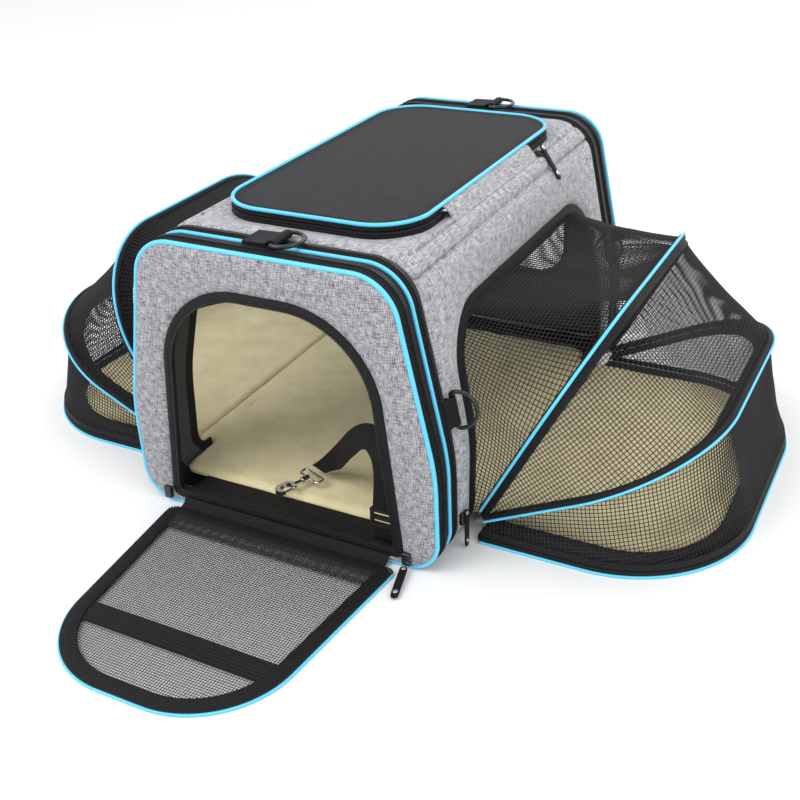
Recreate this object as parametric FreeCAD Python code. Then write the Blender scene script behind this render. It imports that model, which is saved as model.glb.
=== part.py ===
import FreeCAD, Part
import math
import os
from FreeCAD import Vector

# Soft-sided pet carrier bag with a fold-out mesh fan on each side.
# Millimetres. +Z is up and the floor is z = 0, the front door faces -Y, and the
# origin is the middle of the body's base. The bag stands opened out: front door
# down on the floor and both fans spread.

os.makedirs("parts", exist_ok=True)

# Body: the end outline leans in above leanHeight and is rounded at every corner.
bodyLength = 460.0
baseWidth = 294.0
topWidth = 228.0
bodyHeight = 256.0
leanHeight = 96.0
baseCornerRadius = 28.0
waistRadius = 200.0
shoulderRadius = 38.0
wall = 5.0
pipingRadius = 2.25
floorGap = 0.25
sillHeight = 6.0
topSeamHeight = 240.0
clearance = 0.3

# Black zip bands at the two ends, with a second piping in the front one.
frontZipBand = 23.0
frontEdgeBand = 15.0
rearZipBand = 34.0
rearPanelDepth = 7.0
wireRadius = 1.5
wireInset = 9.0

# Floor: base, stiffening board and fleece mat.
boardThickness = 2.0
boardMargin = 12.0
matThickness = 7.6
matFront = 13.0
matRear = 57.0

# Front opening and the door that closes it, an arch on leaning sides.
archHalfWidth = 118.0
archTopHalfWidth = 98.0
archBottom = 8.0
archTop = 224.0
archRadius = 85.0
archFootRadius = 4.0
bindingWidth = 12.0
bindingDepth = 3.5
doorInset = 5.0
doorHingeHeight = 3.0
doorHingeGap = 6.0
doorThickness = 3.6
doorStrapWidth = 21.0
doorStrapHeight = 154.0
doorStrapThickness = 1.2
netThickness = 1.0

# Side openings, in the leaning side panels.
sideHalfWidth = 172.0
sideTopHalfWidth = 158.0
sideTop = 199.0
sideBottomRadius = 18.0
sillWidth = 4.0
sideTopRadius = 55.0

# Fans: hoops and floor panel turn about one line along the foot of each side.
fanGap = 6.0
fanAxisZ = 18.0
fanReach = 210.0
fanHalfWidth = 176.0
fanCornerRadius = 112.0
hoopStep = 6.0
hoopRadius = 2.4
hoopAngles = (62.0, 26.0)
floorBindingWidth = 14.0
floorBindingThickness = 6.0
floorBoardThickness = 4.5
fanBottom = 0.5
wingReach = 186.0
wingHalfWidth = 147.0
wingRadius = 80.0
wingStart = 1.5
floorStart = 4.0
innerRadius = 4.0
netSkin = 0.8
netStart = 14.0

# Lid in the roof: zip strip on the roof, rim, mesh and piping on the lid.
lidHalfWidth = 92.0
lidFront = -158.0
lidRear = 176.0
lidRadius = 45.0
lidStripOut = 13.0
lidStripIn = 6.0
lidStripThickness = 2.0
lidRimWidth = 12.0
lidRimHeight = 5.5
lidMeshThickness = 2.0
lidHingeFront = -90.0
lidHingeRear = 85.0
lidHingeThickness = 2.6
lidHingeHeight = 10.0

# Mesh window in the rear panel.
windowWidth = 180.0
windowHeight = 130.0
windowMiddle = 130.0
windowRadius = 40.0

# D-rings on webbing tabs.
ringHeight = 32.0
ringDepth = 19.0
ringWire = 1.75
ringCornerRadius = 3.0
ringBowRadius = 15.5
tabWidth = 25.0
tabThickness = 1.4
topTabLength = 28.0
sideTabLength = 14.0
sideRingHeight = 131.0
sideRingPlace = 186.0
sideRingAngle = 80.0
topRingX = 6.0

# Zip sliders and their pulls.
sliderLength = 12.0
sliderWidth = 8.0
sliderThickness = 4.4
pullLength = 34.0
pullWidth = 7.0
pullThickness = 1.8
sideSliderHeight = 30.0
lidSliderPlace = 94.0
lidSliderAngle = 60.0
lidPullSlope = 57.0
doorPullYaw = 13.0
doorPullPitch = 5.0

# Tether: anchor webbing, adjuster, strap route, swivel and snap hook.
tetherWidth = 22.0
tetherX = 95.0
tetherBack = 9.0
adjusterBottom = 27.0
adjusterHeight = 17.0
adjusterThickness = 4.0
strapRadius = 1.5
hookHeight = 25.0
eyeWire = 1.3
eyeWidth = 26.0
eyeLength = 8.0
eyeAside = 97.0
eyeBehind = 48.0
barrelRadius = 3.5
barrelLength = 7.0
hookLength = 27.0
hookWidth = 13.0
hookThickness = 4.0
hookWireWidth = 3.4
hookNeck = 8.0
gateLength = 9.0
boltRadius = 1.0
boltReach = 4.0
thumbRadius = 0.7
thumbReach = 7.0
hookYaw = 22.8

origin = Vector(0, 0, 0)
xAxis = Vector(1, 0, 0)
yAxis = Vector(0, 1, 0)
zAxis = Vector(0, 0, 1)

frontSeam = -bodyLength / 2
rearSeam = bodyLength / 2
frontFace = frontSeam - pipingRadius
endPanel = 2 * pipingRadius
innerSeam = frontSeam + frontZipBand
bodyFront = innerSeam + frontEdgeBand
bodyRear = rearSeam - rearZipBand
bodyBottom = pipingRadius + floorGap
leanRun = (baseWidth - topWidth) / 2
leanSlope = leanRun / (bodyHeight - leanHeight)
leanAngle = math.degrees(math.atan(leanSlope))
fanAxisX = baseWidth / 2 + fanGap


def roundedWire(points, radii, closed=True):
    """A wire through the points in the XY plane, rounded at each by its radius."""
    places = [Vector(*point, 0) if len(point) == 2 else Vector(*point) for point in points]
    count = len(places)
    ends = []
    for index, place in enumerate(places):
        if not closed and index in (0, count - 1):
            ends.append((place, None, place))
            continue
        before = (places[index - 1] - place).normalize()
        after = (places[(index + 1) % count] - place).normalize()
        half = before.getAngle(after) / 2
        radius = radii[index]
        setback = radius / math.tan(half)
        bisector = (before + after).normalize()
        middle = place + bisector * (radius / math.sin(half) - radius)
        ends.append((place + before * setback, middle, place + after * setback))
    edges = []
    for index, (start, middle, end) in enumerate(ends):
        if middle:
            edges.append(Part.Arc(start, middle, end).toShape())
        if closed or index < count - 1:
            following = ends[(index + 1) % count][0]
            if (following - end).Length > 1e-6:
                edges.append(Part.LineSegment(end, following).toShape())
    return Part.Wire(edges)


def grown(wire, distance):
    """The same closed outline moved out by the distance, or in where it is negative."""
    return wire.makeOffset2D(distance) if distance else wire.copy()


def atEnd(wire, y):
    """Stands a flat outline up in the plane of the body's ends, at y."""
    standing = wire.copy()
    standing.rotate(origin, xAxis, 90)
    standing.translate(Vector(0, y, 0))
    return standing


def ringFace(wires):
    """A flat face with the first outline as its edge and the others as holes."""
    face = Part.Face(wires[0])
    for hole in wires[1:]:
        face = face.cut(Part.Face(hole))
    return face.Faces[0]


def slab(wires, y, depth):
    """A plate in the plane of the ends, from y to y + depth: outline first, then holes."""
    return ringFace([atEnd(wire, y) for wire in wires]).extrude(Vector(0, depth, 0))


def plate(wires, z, height):
    """A flat plate lying at height z: outline first, then holes."""
    flat = ringFace(wires).extrude(Vector(0, 0, height))
    flat.translate(Vector(0, 0, z))
    return flat


def tube(path, radius):
    """A round bar along a path of lines and tangent arcs."""
    edge = path.OrderedEdges[0]
    start = edge.valueAt(edge.FirstParameter)
    section = Part.Circle(start, edge.tangentAt(edge.FirstParameter), radius).toShape()
    return path.makePipeShell([Part.Wire(section)], True, False)


def block(lowX, highX, lowY, highY, lowZ, highZ):
    return Part.makeBox(highX - lowX, highY - lowY, highZ - lowZ, Vector(lowX, lowY, lowZ))


def mirrored(shape):
    return shape.mirror(origin, xAxis)


def placed(shape, place, u, v, w):
    """Moves a shape made in its own axes to the place, with those axes along u, v and w."""
    matrix = FreeCAD.Matrix(
        u.x, v.x, w.x, place.x,
        u.y, v.y, w.y, place.y,
        u.z, v.z, w.z, place.z,
        0, 0, 0, 1,
    )
    return shape.transformed(matrix)


def save(node, *solids):
    shape = solids[0] if len(solids) == 1 else Part.makeCompound(list(solids))
    shape.exportStep("parts/" + node + ".step")


# Outlines.

bodyOutline = roundedWire(
    [
        (-baseWidth / 2, bodyBottom),
        (baseWidth / 2, bodyBottom),
        (baseWidth / 2, leanHeight),
        (topWidth / 2, bodyHeight),
        (-topWidth / 2, bodyHeight),
        (-baseWidth / 2, leanHeight),
    ],
    [baseCornerRadius, baseCornerRadius, waistRadius, shoulderRadius, shoulderRadius, waistRadius],
)


def archOutline(inset, bottom):
    low = archHalfWidth - inset
    high = archTopHalfWidth - inset
    top = archTop - inset
    corner = archRadius - inset
    radii = [archFootRadius, archFootRadius, corner, corner]
    return roundedWire([(-low, bottom), (low, bottom), (high, top), (-high, top)], radii)


def sideOutline(inset):
    low = sideHalfWidth - inset
    high = sideTopHalfWidth - inset
    bottom = sillHeight + inset * sillWidth / bindingWidth
    return roundedWire(
        [(-low, bottom), (low, bottom), (high, sideTop - inset), (-high, sideTop - inset)],
        [sideBottomRadius - inset, sideBottomRadius - inset, sideTopRadius - inset, sideTopRadius - inset],
    )


def lidOutline(inset):
    wide = lidHalfWidth - inset
    return roundedWire(
        [(-wide, lidFront + inset), (wide, lidFront + inset), (wide, lidRear - inset), (-wide, lidRear - inset)],
        [lidRadius - inset] * 4,
    )


def sidePrism(inset):
    """The side opening's shape, run out through the right-hand side panel."""
    face = Part.Face(sideOutline(inset))
    face.rotate(origin, xAxis, 90)
    face.rotate(origin, zAxis, 90)
    face.translate(Vector(topWidth / 4, 0, 0))
    return face.extrude(Vector(baseWidth / 2, 0, 0))


# Body shell: base, sides, roof, end bands and end panels.

shellWires = [bodyOutline, grown(bodyOutline, -wall)]
shell = slab(shellWires, bodyFront, bodyRear - bodyFront)
far = baseWidth
baseHalfWidth = baseWidth / 2 - baseCornerRadius
sideZone = block(baseHalfWidth, far, -far, far, 0, leanHeight)
sideZone = sideZone.fuse(block(topWidth / 4, far, -far, far, leanHeight, topSeamHeight))
roofZone = block(-far, far, -far, far, topSeamHeight, bodyHeight + wall)

rightSide = shell.common(sideZone).cut(sidePrism(0))
save("right_side_panel", rightSide)
save("left_side_panel", mirrored(rightSide))

rightBinding = shell.common(sideZone).common(sidePrism(0)).cut(sidePrism(bindingWidth))
save("right_opening_binding", rightBinding)
save("left_opening_binding", mirrored(rightBinding))

roofHole = plate([lidOutline(lidRimWidth)], topSeamHeight, bodyHeight)
save("top_panel", shell.common(roofZone).cut(roofHole))

save("base_panel", block(-baseHalfWidth, baseHalfWidth, bodyFront, bodyRear, 0, bodyBottom + wall))

save("front_zip_band", slab(shellWires, frontSeam + pipingRadius, frontZipBand - 2 * pipingRadius))
save("front_edge_band", slab(shellWires, innerSeam + pipingRadius, frontEdgeBand - pipingRadius))
save("rear_zip_band", slab(shellWires, bodyRear, rearZipBand - pipingRadius))

panelOutline = grown(bodyOutline, -pipingRadius)
frontHole = archOutline(0, archBottom)
save("front_panel", slab([panelOutline, frontHole], frontFace, endPanel))
frontBinding = slab([frontHole, archOutline(bindingWidth, archBottom + bindingWidth)], frontFace, bindingDepth)
save("front_opening_binding", frontBinding)

windowLow = windowMiddle - windowHeight / 2
windowHigh = windowMiddle + windowHeight / 2


def windowOutline(inset):
    wide = windowWidth / 2 - inset
    low = windowLow + inset
    high = windowHigh - inset
    return roundedWire([(-wide, low), (wide, low), (wide, high), (-wide, high)], [windowRadius - inset] * 4)


rearFront = rearSeam + pipingRadius - endPanel
save("rear_panel", slab([panelOutline, windowOutline(0)], rearFront, endPanel + rearPanelDepth))
save("rear_window_mesh", slab([windowOutline(0)], rearSeam + pipingRadius, netThickness))

pipingPlaces = (frontSeam, innerSeam, rearSeam)
save("body_pipings", *[tube(atEnd(bodyOutline, place), pipingRadius) for place in pipingPlaces])

wirePath = grown(bodyOutline, -wireInset)
frameWirePlaces = (frontSeam + wireInset, rearSeam - rearZipBand / 2)
save("end_frame_wires", *[tube(atEnd(wirePath, place), wireRadius) for place in frameWirePlaces])

# Floor board and the middle of the mat.

boardBottom = bodyBottom + wall + clearance
matBottom = boardBottom + boardThickness + clearance
matTop = matBottom + matThickness
boardHalfWidth = baseWidth / 2 - boardMargin
boardFront = bodyFront + clearance
boardRear = bodyRear - clearance
board = block(-boardHalfWidth, boardHalfWidth, boardFront, boardRear, boardBottom, boardBottom + boardThickness)
bodyInside = slab([grown(bodyOutline, -wall - clearance)], frontSeam + endPanel, bodyLength - 2 * endPanel)
save("base_board", board.common(bodyInside))
matFrontEdge = frontSeam + matFront
matRearEdge = rearSeam - matRear
mat = block(-baseWidth / 2, baseWidth / 2, matFrontEdge, matRearEdge, matBottom, matTop).common(bodyInside)
matReach = fanAxisX - hoopRadius - clearance
mat = mat.fuse(block(-matReach, matReach, -wingHalfWidth, wingHalfWidth, matBottom, matTop)).removeSplitter()
save("center_mat", mat)

# Front door, lying open on the floor. Its height above the hinge runs towards -Y.

doorHingeY = frontFace - doorHingeGap + pipingRadius
doorWidthInset = doorInset + bindingWidth + 1
doorFoot = archBottom + 1


def doorPlate(wires, z, height):
    flat = ringFace(wires)
    flat.rotate(origin, xAxis, 180)
    flat.translate(Vector(0, doorHingeY + doorHingeHeight, z))
    return flat.extrude(Vector(0, 0, height))


doorOuter = archOutline(doorInset, doorFoot)
doorInner = archOutline(doorWidthInset, doorFoot + bindingWidth)
doorBottom = doorHingeHeight - doorThickness / 2
save("door_binding", doorPlate([doorOuter, doorInner], doorBottom, doorThickness))
save("door_mesh", doorPlate([doorInner], doorHingeHeight - netThickness / 2, netThickness))

strapLow = doorStrapHeight - doorStrapWidth / 2
strapHigh = doorStrapHeight + doorStrapWidth / 2
strapBand = block(-far, far, strapLow, strapHigh, -1, 1)
strapFace = Part.Face(archOutline(doorWidthInset - bindingWidth / 2, doorFoot)).common(strapBand)
strapBottom = doorBottom + doorThickness + clearance / 2
save("door_strap", doorPlate([strapFace.Faces[0].OuterWire], strapBottom, doorStrapThickness))

# Lid.

roofSkin = slab([grown(bodyOutline, lidStripThickness)], bodyFront, bodyRear - bodyFront)
roofCore = slab([bodyOutline], bodyFront, bodyRear - bodyFront)
lidRing = plate([lidOutline(-lidStripOut), lidOutline(lidStripIn)], topSeamHeight, bodyHeight - topSeamHeight + wall)
hingeZone = block(
    lidHalfWidth - lidStripIn, far, lidHingeFront, lidHingeRear, topSeamHeight, bodyHeight + wall
)
save("lid_zip_strip", roofSkin.cut(roofCore).common(lidRing).cut(hingeZone))

lidBottom = bodyHeight + lidStripThickness + clearance
lidTop = lidBottom + lidRimHeight
save("lid_binding", plate([lidOutline(0), lidOutline(lidRimWidth)], lidBottom, lidRimHeight))
save("lid_mesh", plate([lidOutline(lidRimWidth)], lidTop - lidMeshThickness, lidMeshThickness))
hingeOut = lidHalfWidth + clearance
hingeStrip = block(
    hingeOut, hingeOut + lidHingeThickness, lidHingeFront, lidHingeRear, topSeamHeight, bodyHeight + lidHingeHeight
)
save("lid_hinge", hingeStrip.cut(roofCore))

# Fans. Each piece is drawn flat, with its reach along +X from the hinge line, then
# turned up about that line by its angle.


def fanPath(halfWidth, reach, radius, start):
    return roundedWire(
        [(start, -halfWidth), (reach, -halfWidth), (reach, halfWidth), (start, halfWidth)],
        [0, radius, radius, 0],
        closed=False,
    )


def raised(shape, angle, lift=0.0):
    turned = shape.copy()
    turned.translate(Vector(0, 0, lift))
    turned.rotate(origin, yAxis, -angle)
    turned.translate(Vector(fanAxisX, 0, fanAxisZ))
    return turned


def fanRim(halfWidth, reach, radius, angle, lift):
    """The closed edge of a net: a thin band along a hoop, with open ends at the pivots."""
    outer = fanPath(halfWidth, reach, radius, netStart)
    inner = fanPath(halfWidth - netSkin, reach - netSkin, radius - netSkin, netStart)
    edges = list(outer.Edges) + list(inner.Edges)
    for side in (-1, 1):
        start = Vector(netStart, side * halfWidth, 0)
        end = Vector(netStart, side * (halfWidth - netSkin), 0)
        edges.append(Part.LineSegment(start, end).toShape())
    return raised(Part.Wire(Part.__sortEdges__(edges)), angle, lift)


def net(lower, upper):
    return Part.makeLoft([lower, upper], True, True)


hoopClear = hoopRadius + clearance
rims = {}
for number, angle in enumerate(hoopAngles, start=1):
    shrink = hoopStep * (len(hoopAngles) + 1 - number)
    size = (fanHalfWidth - shrink, fanReach - shrink, fanCornerRadius - shrink)
    hoop = raised(tube(fanPath(*size, 0), hoopRadius), angle)
    save(f"right_hoop_{number}", hoop)
    save(f"left_hoop_{number}", mirrored(hoop))
    rims[number] = (size, angle)

netTop = sideTop - bindingWidth
wallMiddle = baseWidth / 2 - (netTop - leanHeight) * leanSlope - wall / 2
wallAngle = 90 + math.degrees(math.atan2(fanAxisX - wallMiddle, netTop - fanAxisZ))
panelLift = fanBottom + floorBindingThickness + clearance - fanAxisZ
wallRim = fanRim(
    sideTopHalfWidth - bindingWidth - hoopStep,
    netTop - fanAxisZ - hoopRadius,
    sideTopRadius - bindingWidth,
    wallAngle,
    0,
)
panelRim = fanRim(fanHalfWidth, fanReach, fanCornerRadius, 0, panelLift)
nets = {
    1: net(fanRim(*rims[1][0], rims[1][1], hoopClear), wallRim),
    2: net(fanRim(*rims[2][0], rims[2][1], hoopClear), fanRim(*rims[1][0], rims[1][1], -hoopClear)),
    3: net(panelRim, fanRim(*rims[2][0], rims[2][1], -hoopClear)),
}
for number, mesh in nets.items():
    save(f"right_net_{number}", mesh)
    save(f"left_net_{number}", mirrored(mesh))


def fanPlate(inset, start, halfWidth, reach, radius, inner):
    points = [(start + inset, -halfWidth + inset), (reach - inset, -halfWidth + inset)]
    points += [(reach - inset, halfWidth - inset), (start + inset, halfWidth - inset)]
    return roundedWire(points, [inner, radius - inset, radius - inset, inner])


floorEdge = fanPlate(0, floorStart, fanHalfWidth, fanReach, fanCornerRadius, 2 * innerRadius)
floorHole = fanPlate(floorBindingWidth, floorStart, fanHalfWidth, fanReach, fanCornerRadius, innerRadius)
wingEdge = fanPlate(0, wingStart, wingHalfWidth, wingReach, wingRadius, innerRadius)
wingBottom = fanBottom + floorBindingThickness + clearance
fanFloor = {
    "floor_binding": plate([floorEdge, floorHole], fanBottom, floorBindingThickness),
    "floor_board": plate([floorHole], fanBottom + clearance, floorBoardThickness),
    "mat_wing": plate([wingEdge], wingBottom, fanAxisZ - clearance - wingBottom),
}
for name, piece in fanFloor.items():
    piece.translate(Vector(fanAxisX, 0, 0))
    save("right_" + name, piece)
    save("left_" + name, mirrored(piece))

# D-rings: the tab lies on a surface with its end along u, and the ring hangs on a bar
# along v. The bar sits at barHeight above the surface, along w.

barHeight = ringWire + clearance + tabThickness
ringPath = roundedWire(
    [(0, -ringHeight / 2), (ringDepth, -ringHeight / 2), (ringDepth, ringHeight / 2), (0, ringHeight / 2)],
    [ringCornerRadius, ringBowRadius, ringBowRadius, ringCornerRadius],
)


def ring(angle):
    solid = tube(ringPath, ringWire)
    solid.rotate(origin, yAxis, -angle)
    solid.translate(Vector(0, 0, barHeight + clearance))
    return solid


def tab(length):
    bar = Vector(0, -tabWidth / 2, barHeight + clearance)
    loop = Part.makeCylinder(barHeight, tabWidth, bar, yAxis)
    tail = block(-length, -ringWire, -tabWidth / 2, tabWidth / 2, clearance, clearance + tabThickness)
    return loop.fuse(tail).cut(Part.makeCylinder(ringWire + clearance, tabWidth, bar, yAxis))


out = Vector(math.cos(math.radians(leanAngle)), 0, math.sin(math.radians(leanAngle)))
up = out.cross(yAxis)
sideRingX = baseWidth / 2 - (sideRingHeight - leanHeight) * leanSlope
topSurface = bodyHeight + pipingRadius
rearTopRingY = rearSeam - ringHeight / 2 + pipingRadius
ringPlaces = {
    "front_top_ring": (Vector(topRingX, innerSeam + 4, topSurface), xAxis, yAxis, zAxis, topTabLength, 0),
    "rear_top_ring": (Vector(topRingX, rearTopRingY, topSurface), xAxis, yAxis, zAxis, topTabLength, 0),
    "right_front_ring": (
        Vector(sideRingX, -sideRingPlace, sideRingHeight), yAxis, up, out, sideTabLength, sideRingAngle
    ),
    "right_rear_ring": (
        Vector(sideRingX, sideRingPlace, sideRingHeight), -yAxis, -up, out, sideTabLength, sideRingAngle
    ),
}
tabs = []
for name, (place, u, v, w, length, angle) in ringPlaces.items():
    solid = placed(ring(angle), place, u, v, w)
    webbing = placed(tab(length), place, u, v, w)
    save(name, solid)
    tabs.append(webbing)
    if name.startswith("right"):
        save(name.replace("right", "left"), mirrored(solid))
        tabs.append(mirrored(webbing))
save("ring_tabs", *tabs)

# Zip sliders and pulls. A slider's own axes: length along v, face away along w.


def slider():
    body = block(
        -sliderWidth / 2, sliderWidth / 2, -sliderLength / 2, sliderLength / 2, 0, sliderThickness
    )
    return body.makeFillet(1.2, body.Edges)


def pull():
    """A flat pull along +X from its eye, with a rivet at each end."""
    strip = roundedWire(
        [(-pullWidth / 2, -pullWidth / 2), (pullLength, -pullWidth / 2)]
        + [(pullLength, pullWidth / 2), (-pullWidth / 2, pullWidth / 2)],
        [pullWidth / 2 - 0.1] * 4,
    )
    body = plate([strip], -pullThickness / 2, pullThickness)
    for place in (0, pullLength - pullWidth):
        rivet = Part.makeCylinder(pullWidth / 4, pullThickness + 0.6, Vector(place, 0, -pullThickness / 2 - 0.3))
        body = body.fuse(rivet)
    return body


doorSliderX = archHalfWidth + sliderWidth / 2 - 1
doorSliderZ = sliderLength
doorSliderY = frontFace - clearance
doorSlider = placed(slider(), Vector(doorSliderX, doorSliderY, doorSliderZ), xAxis, zAxis, -yAxis)
save("door_right_slider", doorSlider)
save("door_left_slider", mirrored(doorSlider))

doorPull = pull()
doorPull.rotate(origin, yAxis, doorPullPitch)
doorPull.rotate(origin, zAxis, doorPullYaw - 90)
doorPullPlace = Vector(
    doorSliderX, doorSliderY - sliderThickness - pullWidth / 2 - clearance, doorSliderZ - sliderLength / 2
)
doorPull.translate(doorPullPlace)
save("door_pull", doorPull)

sideSliderX = baseWidth / 2 + clearance
sideSliderPlace = Vector(sideSliderX, -sideRingPlace, sideSliderHeight)
save("side_slider", placed(slider(), sideSliderPlace, yAxis, zAxis, xAxis))
sidePull = pull()
sidePull.rotate(origin, yAxis, 90)
sidePullX = sideSliderX + sliderThickness + pullThickness / 2 + 2 * clearance
sidePullZ = sideSliderHeight + sliderLength / 2
sidePull.translate(Vector(sidePullX, -sideRingPlace, sidePullZ))
save("side_pull", sidePull)

roll = math.radians(lidSliderAngle)
shoulderNormal = Vector(math.cos(roll), 0, math.sin(roll))
shoulderTangent = Vector(math.sin(roll), 0, -math.cos(roll))
shoulderSetback = shoulderRadius * math.tan(math.radians(45 - leanAngle / 2))
shoulderMiddle = Vector(topWidth / 2 - shoulderSetback, lidSliderPlace, bodyHeight - shoulderRadius)
lidSliderPoint = shoulderMiddle + shoulderNormal * (shoulderRadius + lidStripThickness + clearance)
save("lid_slider", placed(slider(), lidSliderPoint, shoulderTangent, yAxis, shoulderNormal))
lidPull = pull()
lidPull.rotate(origin, yAxis, lidPullSlope)
lidPullEye = lidSliderPoint + shoulderNormal * (sliderThickness + pullThickness + 3 * clearance)
lidPull.translate(lidPullEye)
save("lid_pull", lidPull)

# Tether.

tetherY = frontSeam + tetherBack
tetherLow = tetherX - tetherWidth / 2
tetherHigh = tetherX + tetherWidth / 2
save("tether_anchor", block(
    tetherLow, tetherHigh, tetherY - tabThickness / 2, tetherY + tabThickness / 2,
    bodyBottom + wireInset + wireRadius, adjusterBottom
))
frameWide = eyeWidth / 2
slotTop = adjusterHeight - 2 * eyeWire
adjuster = block(
    tetherX - frameWide, tetherX + frameWide, tetherY - adjusterThickness / 2,
    tetherY + adjusterThickness / 2, adjusterBottom, adjusterBottom + adjusterHeight
)
for low, high in ((2 * eyeWire, slotTop / 2), (slotTop / 2 + 2 * eyeWire, slotTop)):
    adjuster = adjuster.cut(block(
        tetherX - frameWide + 2, tetherX + frameWide - 2, tetherY - adjusterThickness,
        tetherY + adjusterThickness, adjusterBottom + low, adjusterBottom + high
    ))
save("tether_adjuster", adjuster)

# The strap's route, measured from the middle of the adjuster's top.
strapStart = Vector(tetherX, tetherY, adjusterBottom + adjusterHeight)
strapOffsets = [
    (0, 0, 0.5),
    (1, 1, 17),
    (2, 2, 34),
    (-3, 6, 52),
    (-17, 16, 58),
    (-34, 26, 49),
    (-51, 35, 31),
    (-67, 45, 11),
    (-82, 53, -6),
    (-97, 54, -17),
]
strapRoute = [strapStart + Vector(*offset) for offset in strapOffsets]


def cordPath(route):
    """Straight runs joined by arcs, each as large as its two shorter runs allow."""
    radii = [0]
    for before, here, after in zip(route, route[1:], route[2:]):
        first = here - before
        second = after - here
        turn = first.getAngle(second)
        radii.append(0.45 * min(first.Length, second.Length) / math.tan(turn / 2))
    print("strap bend radii:", [round(radius, 1) for radius in radii[1:]])
    return roundedWire(route, radii + [0], closed=False)


strapPath = cordPath(strapRoute)
strap = tube(strapPath, strapRadius)
sectionArea = math.pi * strapRadius ** 2
print("strap length:", round(strapPath.Length, 1), "by volume:", round(strap.Volume / sectionArea, 1))
save("tether_strap", strap)

eyePath = roundedWire(
    [(0, -eyeWidth / 2), (eyeLength, -eyeWidth / 2), (eyeLength, eyeWidth / 2), (0, eyeWidth / 2)],
    [2.0, 3.0, 3.0, 2.0],
)
swivel = tube(eyePath, eyeWire).fuse(
    Part.makeCylinder(barrelRadius, barrelLength, Vector(eyeLength, 0, 0), xAxis)
)
neckStart = eyeLength + barrelLength + clearance


def hookOutline(inset):
    start = neckStart + hookNeck + inset
    end = neckStart + hookLength - inset
    wide = hookWidth / 2 - inset
    return roundedWire([(start, -wide), (end, -wide), (end, wide), (start, wide)], [wide - 0.1] * 4)


hook = plate([hookOutline(0), hookOutline(hookWireWidth)], -hookThickness / 2, hookThickness)
neck = Part.makeCylinder(hookThickness / 2, hookNeck + hookWireWidth, Vector(neckStart, 0, 0), xAxis)
gateStart = neckStart + hookNeck + hookWidth / 2 - 2
gateSide = hookWidth / 2 - hookWireWidth / 2
gateHole = block(
    gateStart, gateStart + gateLength, gateSide - hookWireWidth, hookWidth, -hookThickness, hookThickness
)
boltHole = Part.makeCylinder(boltRadius + clearance / 2, gateLength, Vector(gateStart - gateLength, gateSide, 0), xAxis)
thumbHalf = thumbRadius + clearance / 2
thumbSlot = block(gateStart - gateLength, gateStart, gateSide, hookWidth, -thumbHalf, thumbHalf)
hook = hook.fuse(neck).cut(gateHole).cut(boltHole).cut(thumbSlot)
boltLength = gateLength + boltReach - clearance
bolt = Part.makeCylinder(boltRadius, boltLength, Vector(gateStart - boltReach, gateSide, 0), xAxis)
thumbPlace = Vector(gateStart + boltRadius, gateSide, 0)
bolt = bolt.fuse(Part.makeCylinder(thumbRadius, thumbReach - gateSide, thumbPlace, yAxis))
for name, piece in (("tether_swivel", swivel), ("hook_body", hook), ("hook_bolt", bolt)):
    laid = piece.copy()
    laid.rotate(origin, zAxis, -90 - hookYaw)
    laid.translate(Vector(tetherX - eyeAside, tetherY + eyeBehind, hookHeight))
    save(name, laid)
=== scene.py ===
import bisect
import math
from functools import partial
import bpy
from mathutils import Matrix, Vector, noise


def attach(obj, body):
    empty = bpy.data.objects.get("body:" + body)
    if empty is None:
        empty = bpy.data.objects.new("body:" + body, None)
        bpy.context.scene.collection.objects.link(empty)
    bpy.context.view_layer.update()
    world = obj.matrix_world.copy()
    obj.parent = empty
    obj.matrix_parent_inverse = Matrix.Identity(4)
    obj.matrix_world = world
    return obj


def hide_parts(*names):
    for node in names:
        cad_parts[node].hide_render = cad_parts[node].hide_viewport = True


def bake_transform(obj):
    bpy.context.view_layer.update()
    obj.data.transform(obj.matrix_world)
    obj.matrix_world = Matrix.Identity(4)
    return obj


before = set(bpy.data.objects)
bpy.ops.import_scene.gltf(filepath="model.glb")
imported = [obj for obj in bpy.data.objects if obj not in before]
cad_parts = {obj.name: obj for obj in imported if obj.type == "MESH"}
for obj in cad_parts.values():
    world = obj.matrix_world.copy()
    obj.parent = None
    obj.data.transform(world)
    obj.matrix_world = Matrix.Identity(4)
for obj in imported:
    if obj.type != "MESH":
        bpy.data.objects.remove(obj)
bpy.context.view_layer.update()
scene = bpy.context.scene
scene.view_settings.view_transform = "Standard"
mm = 0.001
print("frame loaded")

# Camera, floor and light

cameraSetup = {
    "place": (0.4756, -0.8797, 0.5754),
    "yaw": 28.74,
    "pitch": 29.37,
    "roll": -2.68,
    "lens": 50.56,
}


def makeCamera():
    a, e, r = (math.radians(cameraSetup[key]) for key in ("yaw", "pitch", "roll"))
    forward = Vector((-math.sin(a) * math.cos(e), math.cos(a) * math.cos(e), -math.sin(e)))
    side = Vector((math.cos(a), math.sin(a), 0))
    top = side.cross(forward)
    right = side * math.cos(r) + top * math.sin(r)
    up = top * math.cos(r) - side * math.sin(r)
    data = bpy.data.cameras.new("camera")
    data.lens = cameraSetup["lens"]
    data.sensor_width = 36
    data.clip_start = 0.01
    camera = bpy.data.objects.new("camera", data)
    scene.collection.objects.link(camera)
    turn = Matrix((right, up, -forward)).transposed().to_4x4()
    camera.matrix_world = Matrix.Translation(cameraSetup["place"]) @ turn
    scene.camera = camera


studio = {
    "floor": (0.86, 0.86, 0.86, 1),
    "floorRoughness": 0.9,
    "floorReach": 6.0,
    "world": 1.0,
    "aim": (0, 0, 0.1),
    "key": {"place": (-0.7, -1.5, 2.0), "size": 1.4, "power": 26},
    "fill": {"place": (1.9, -0.7, 1.1), "size": 1.6, "power": 12},
    "rim": {"place": (0.5, 1.9, 1.7), "size": 1.2, "power": 12},
}


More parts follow.
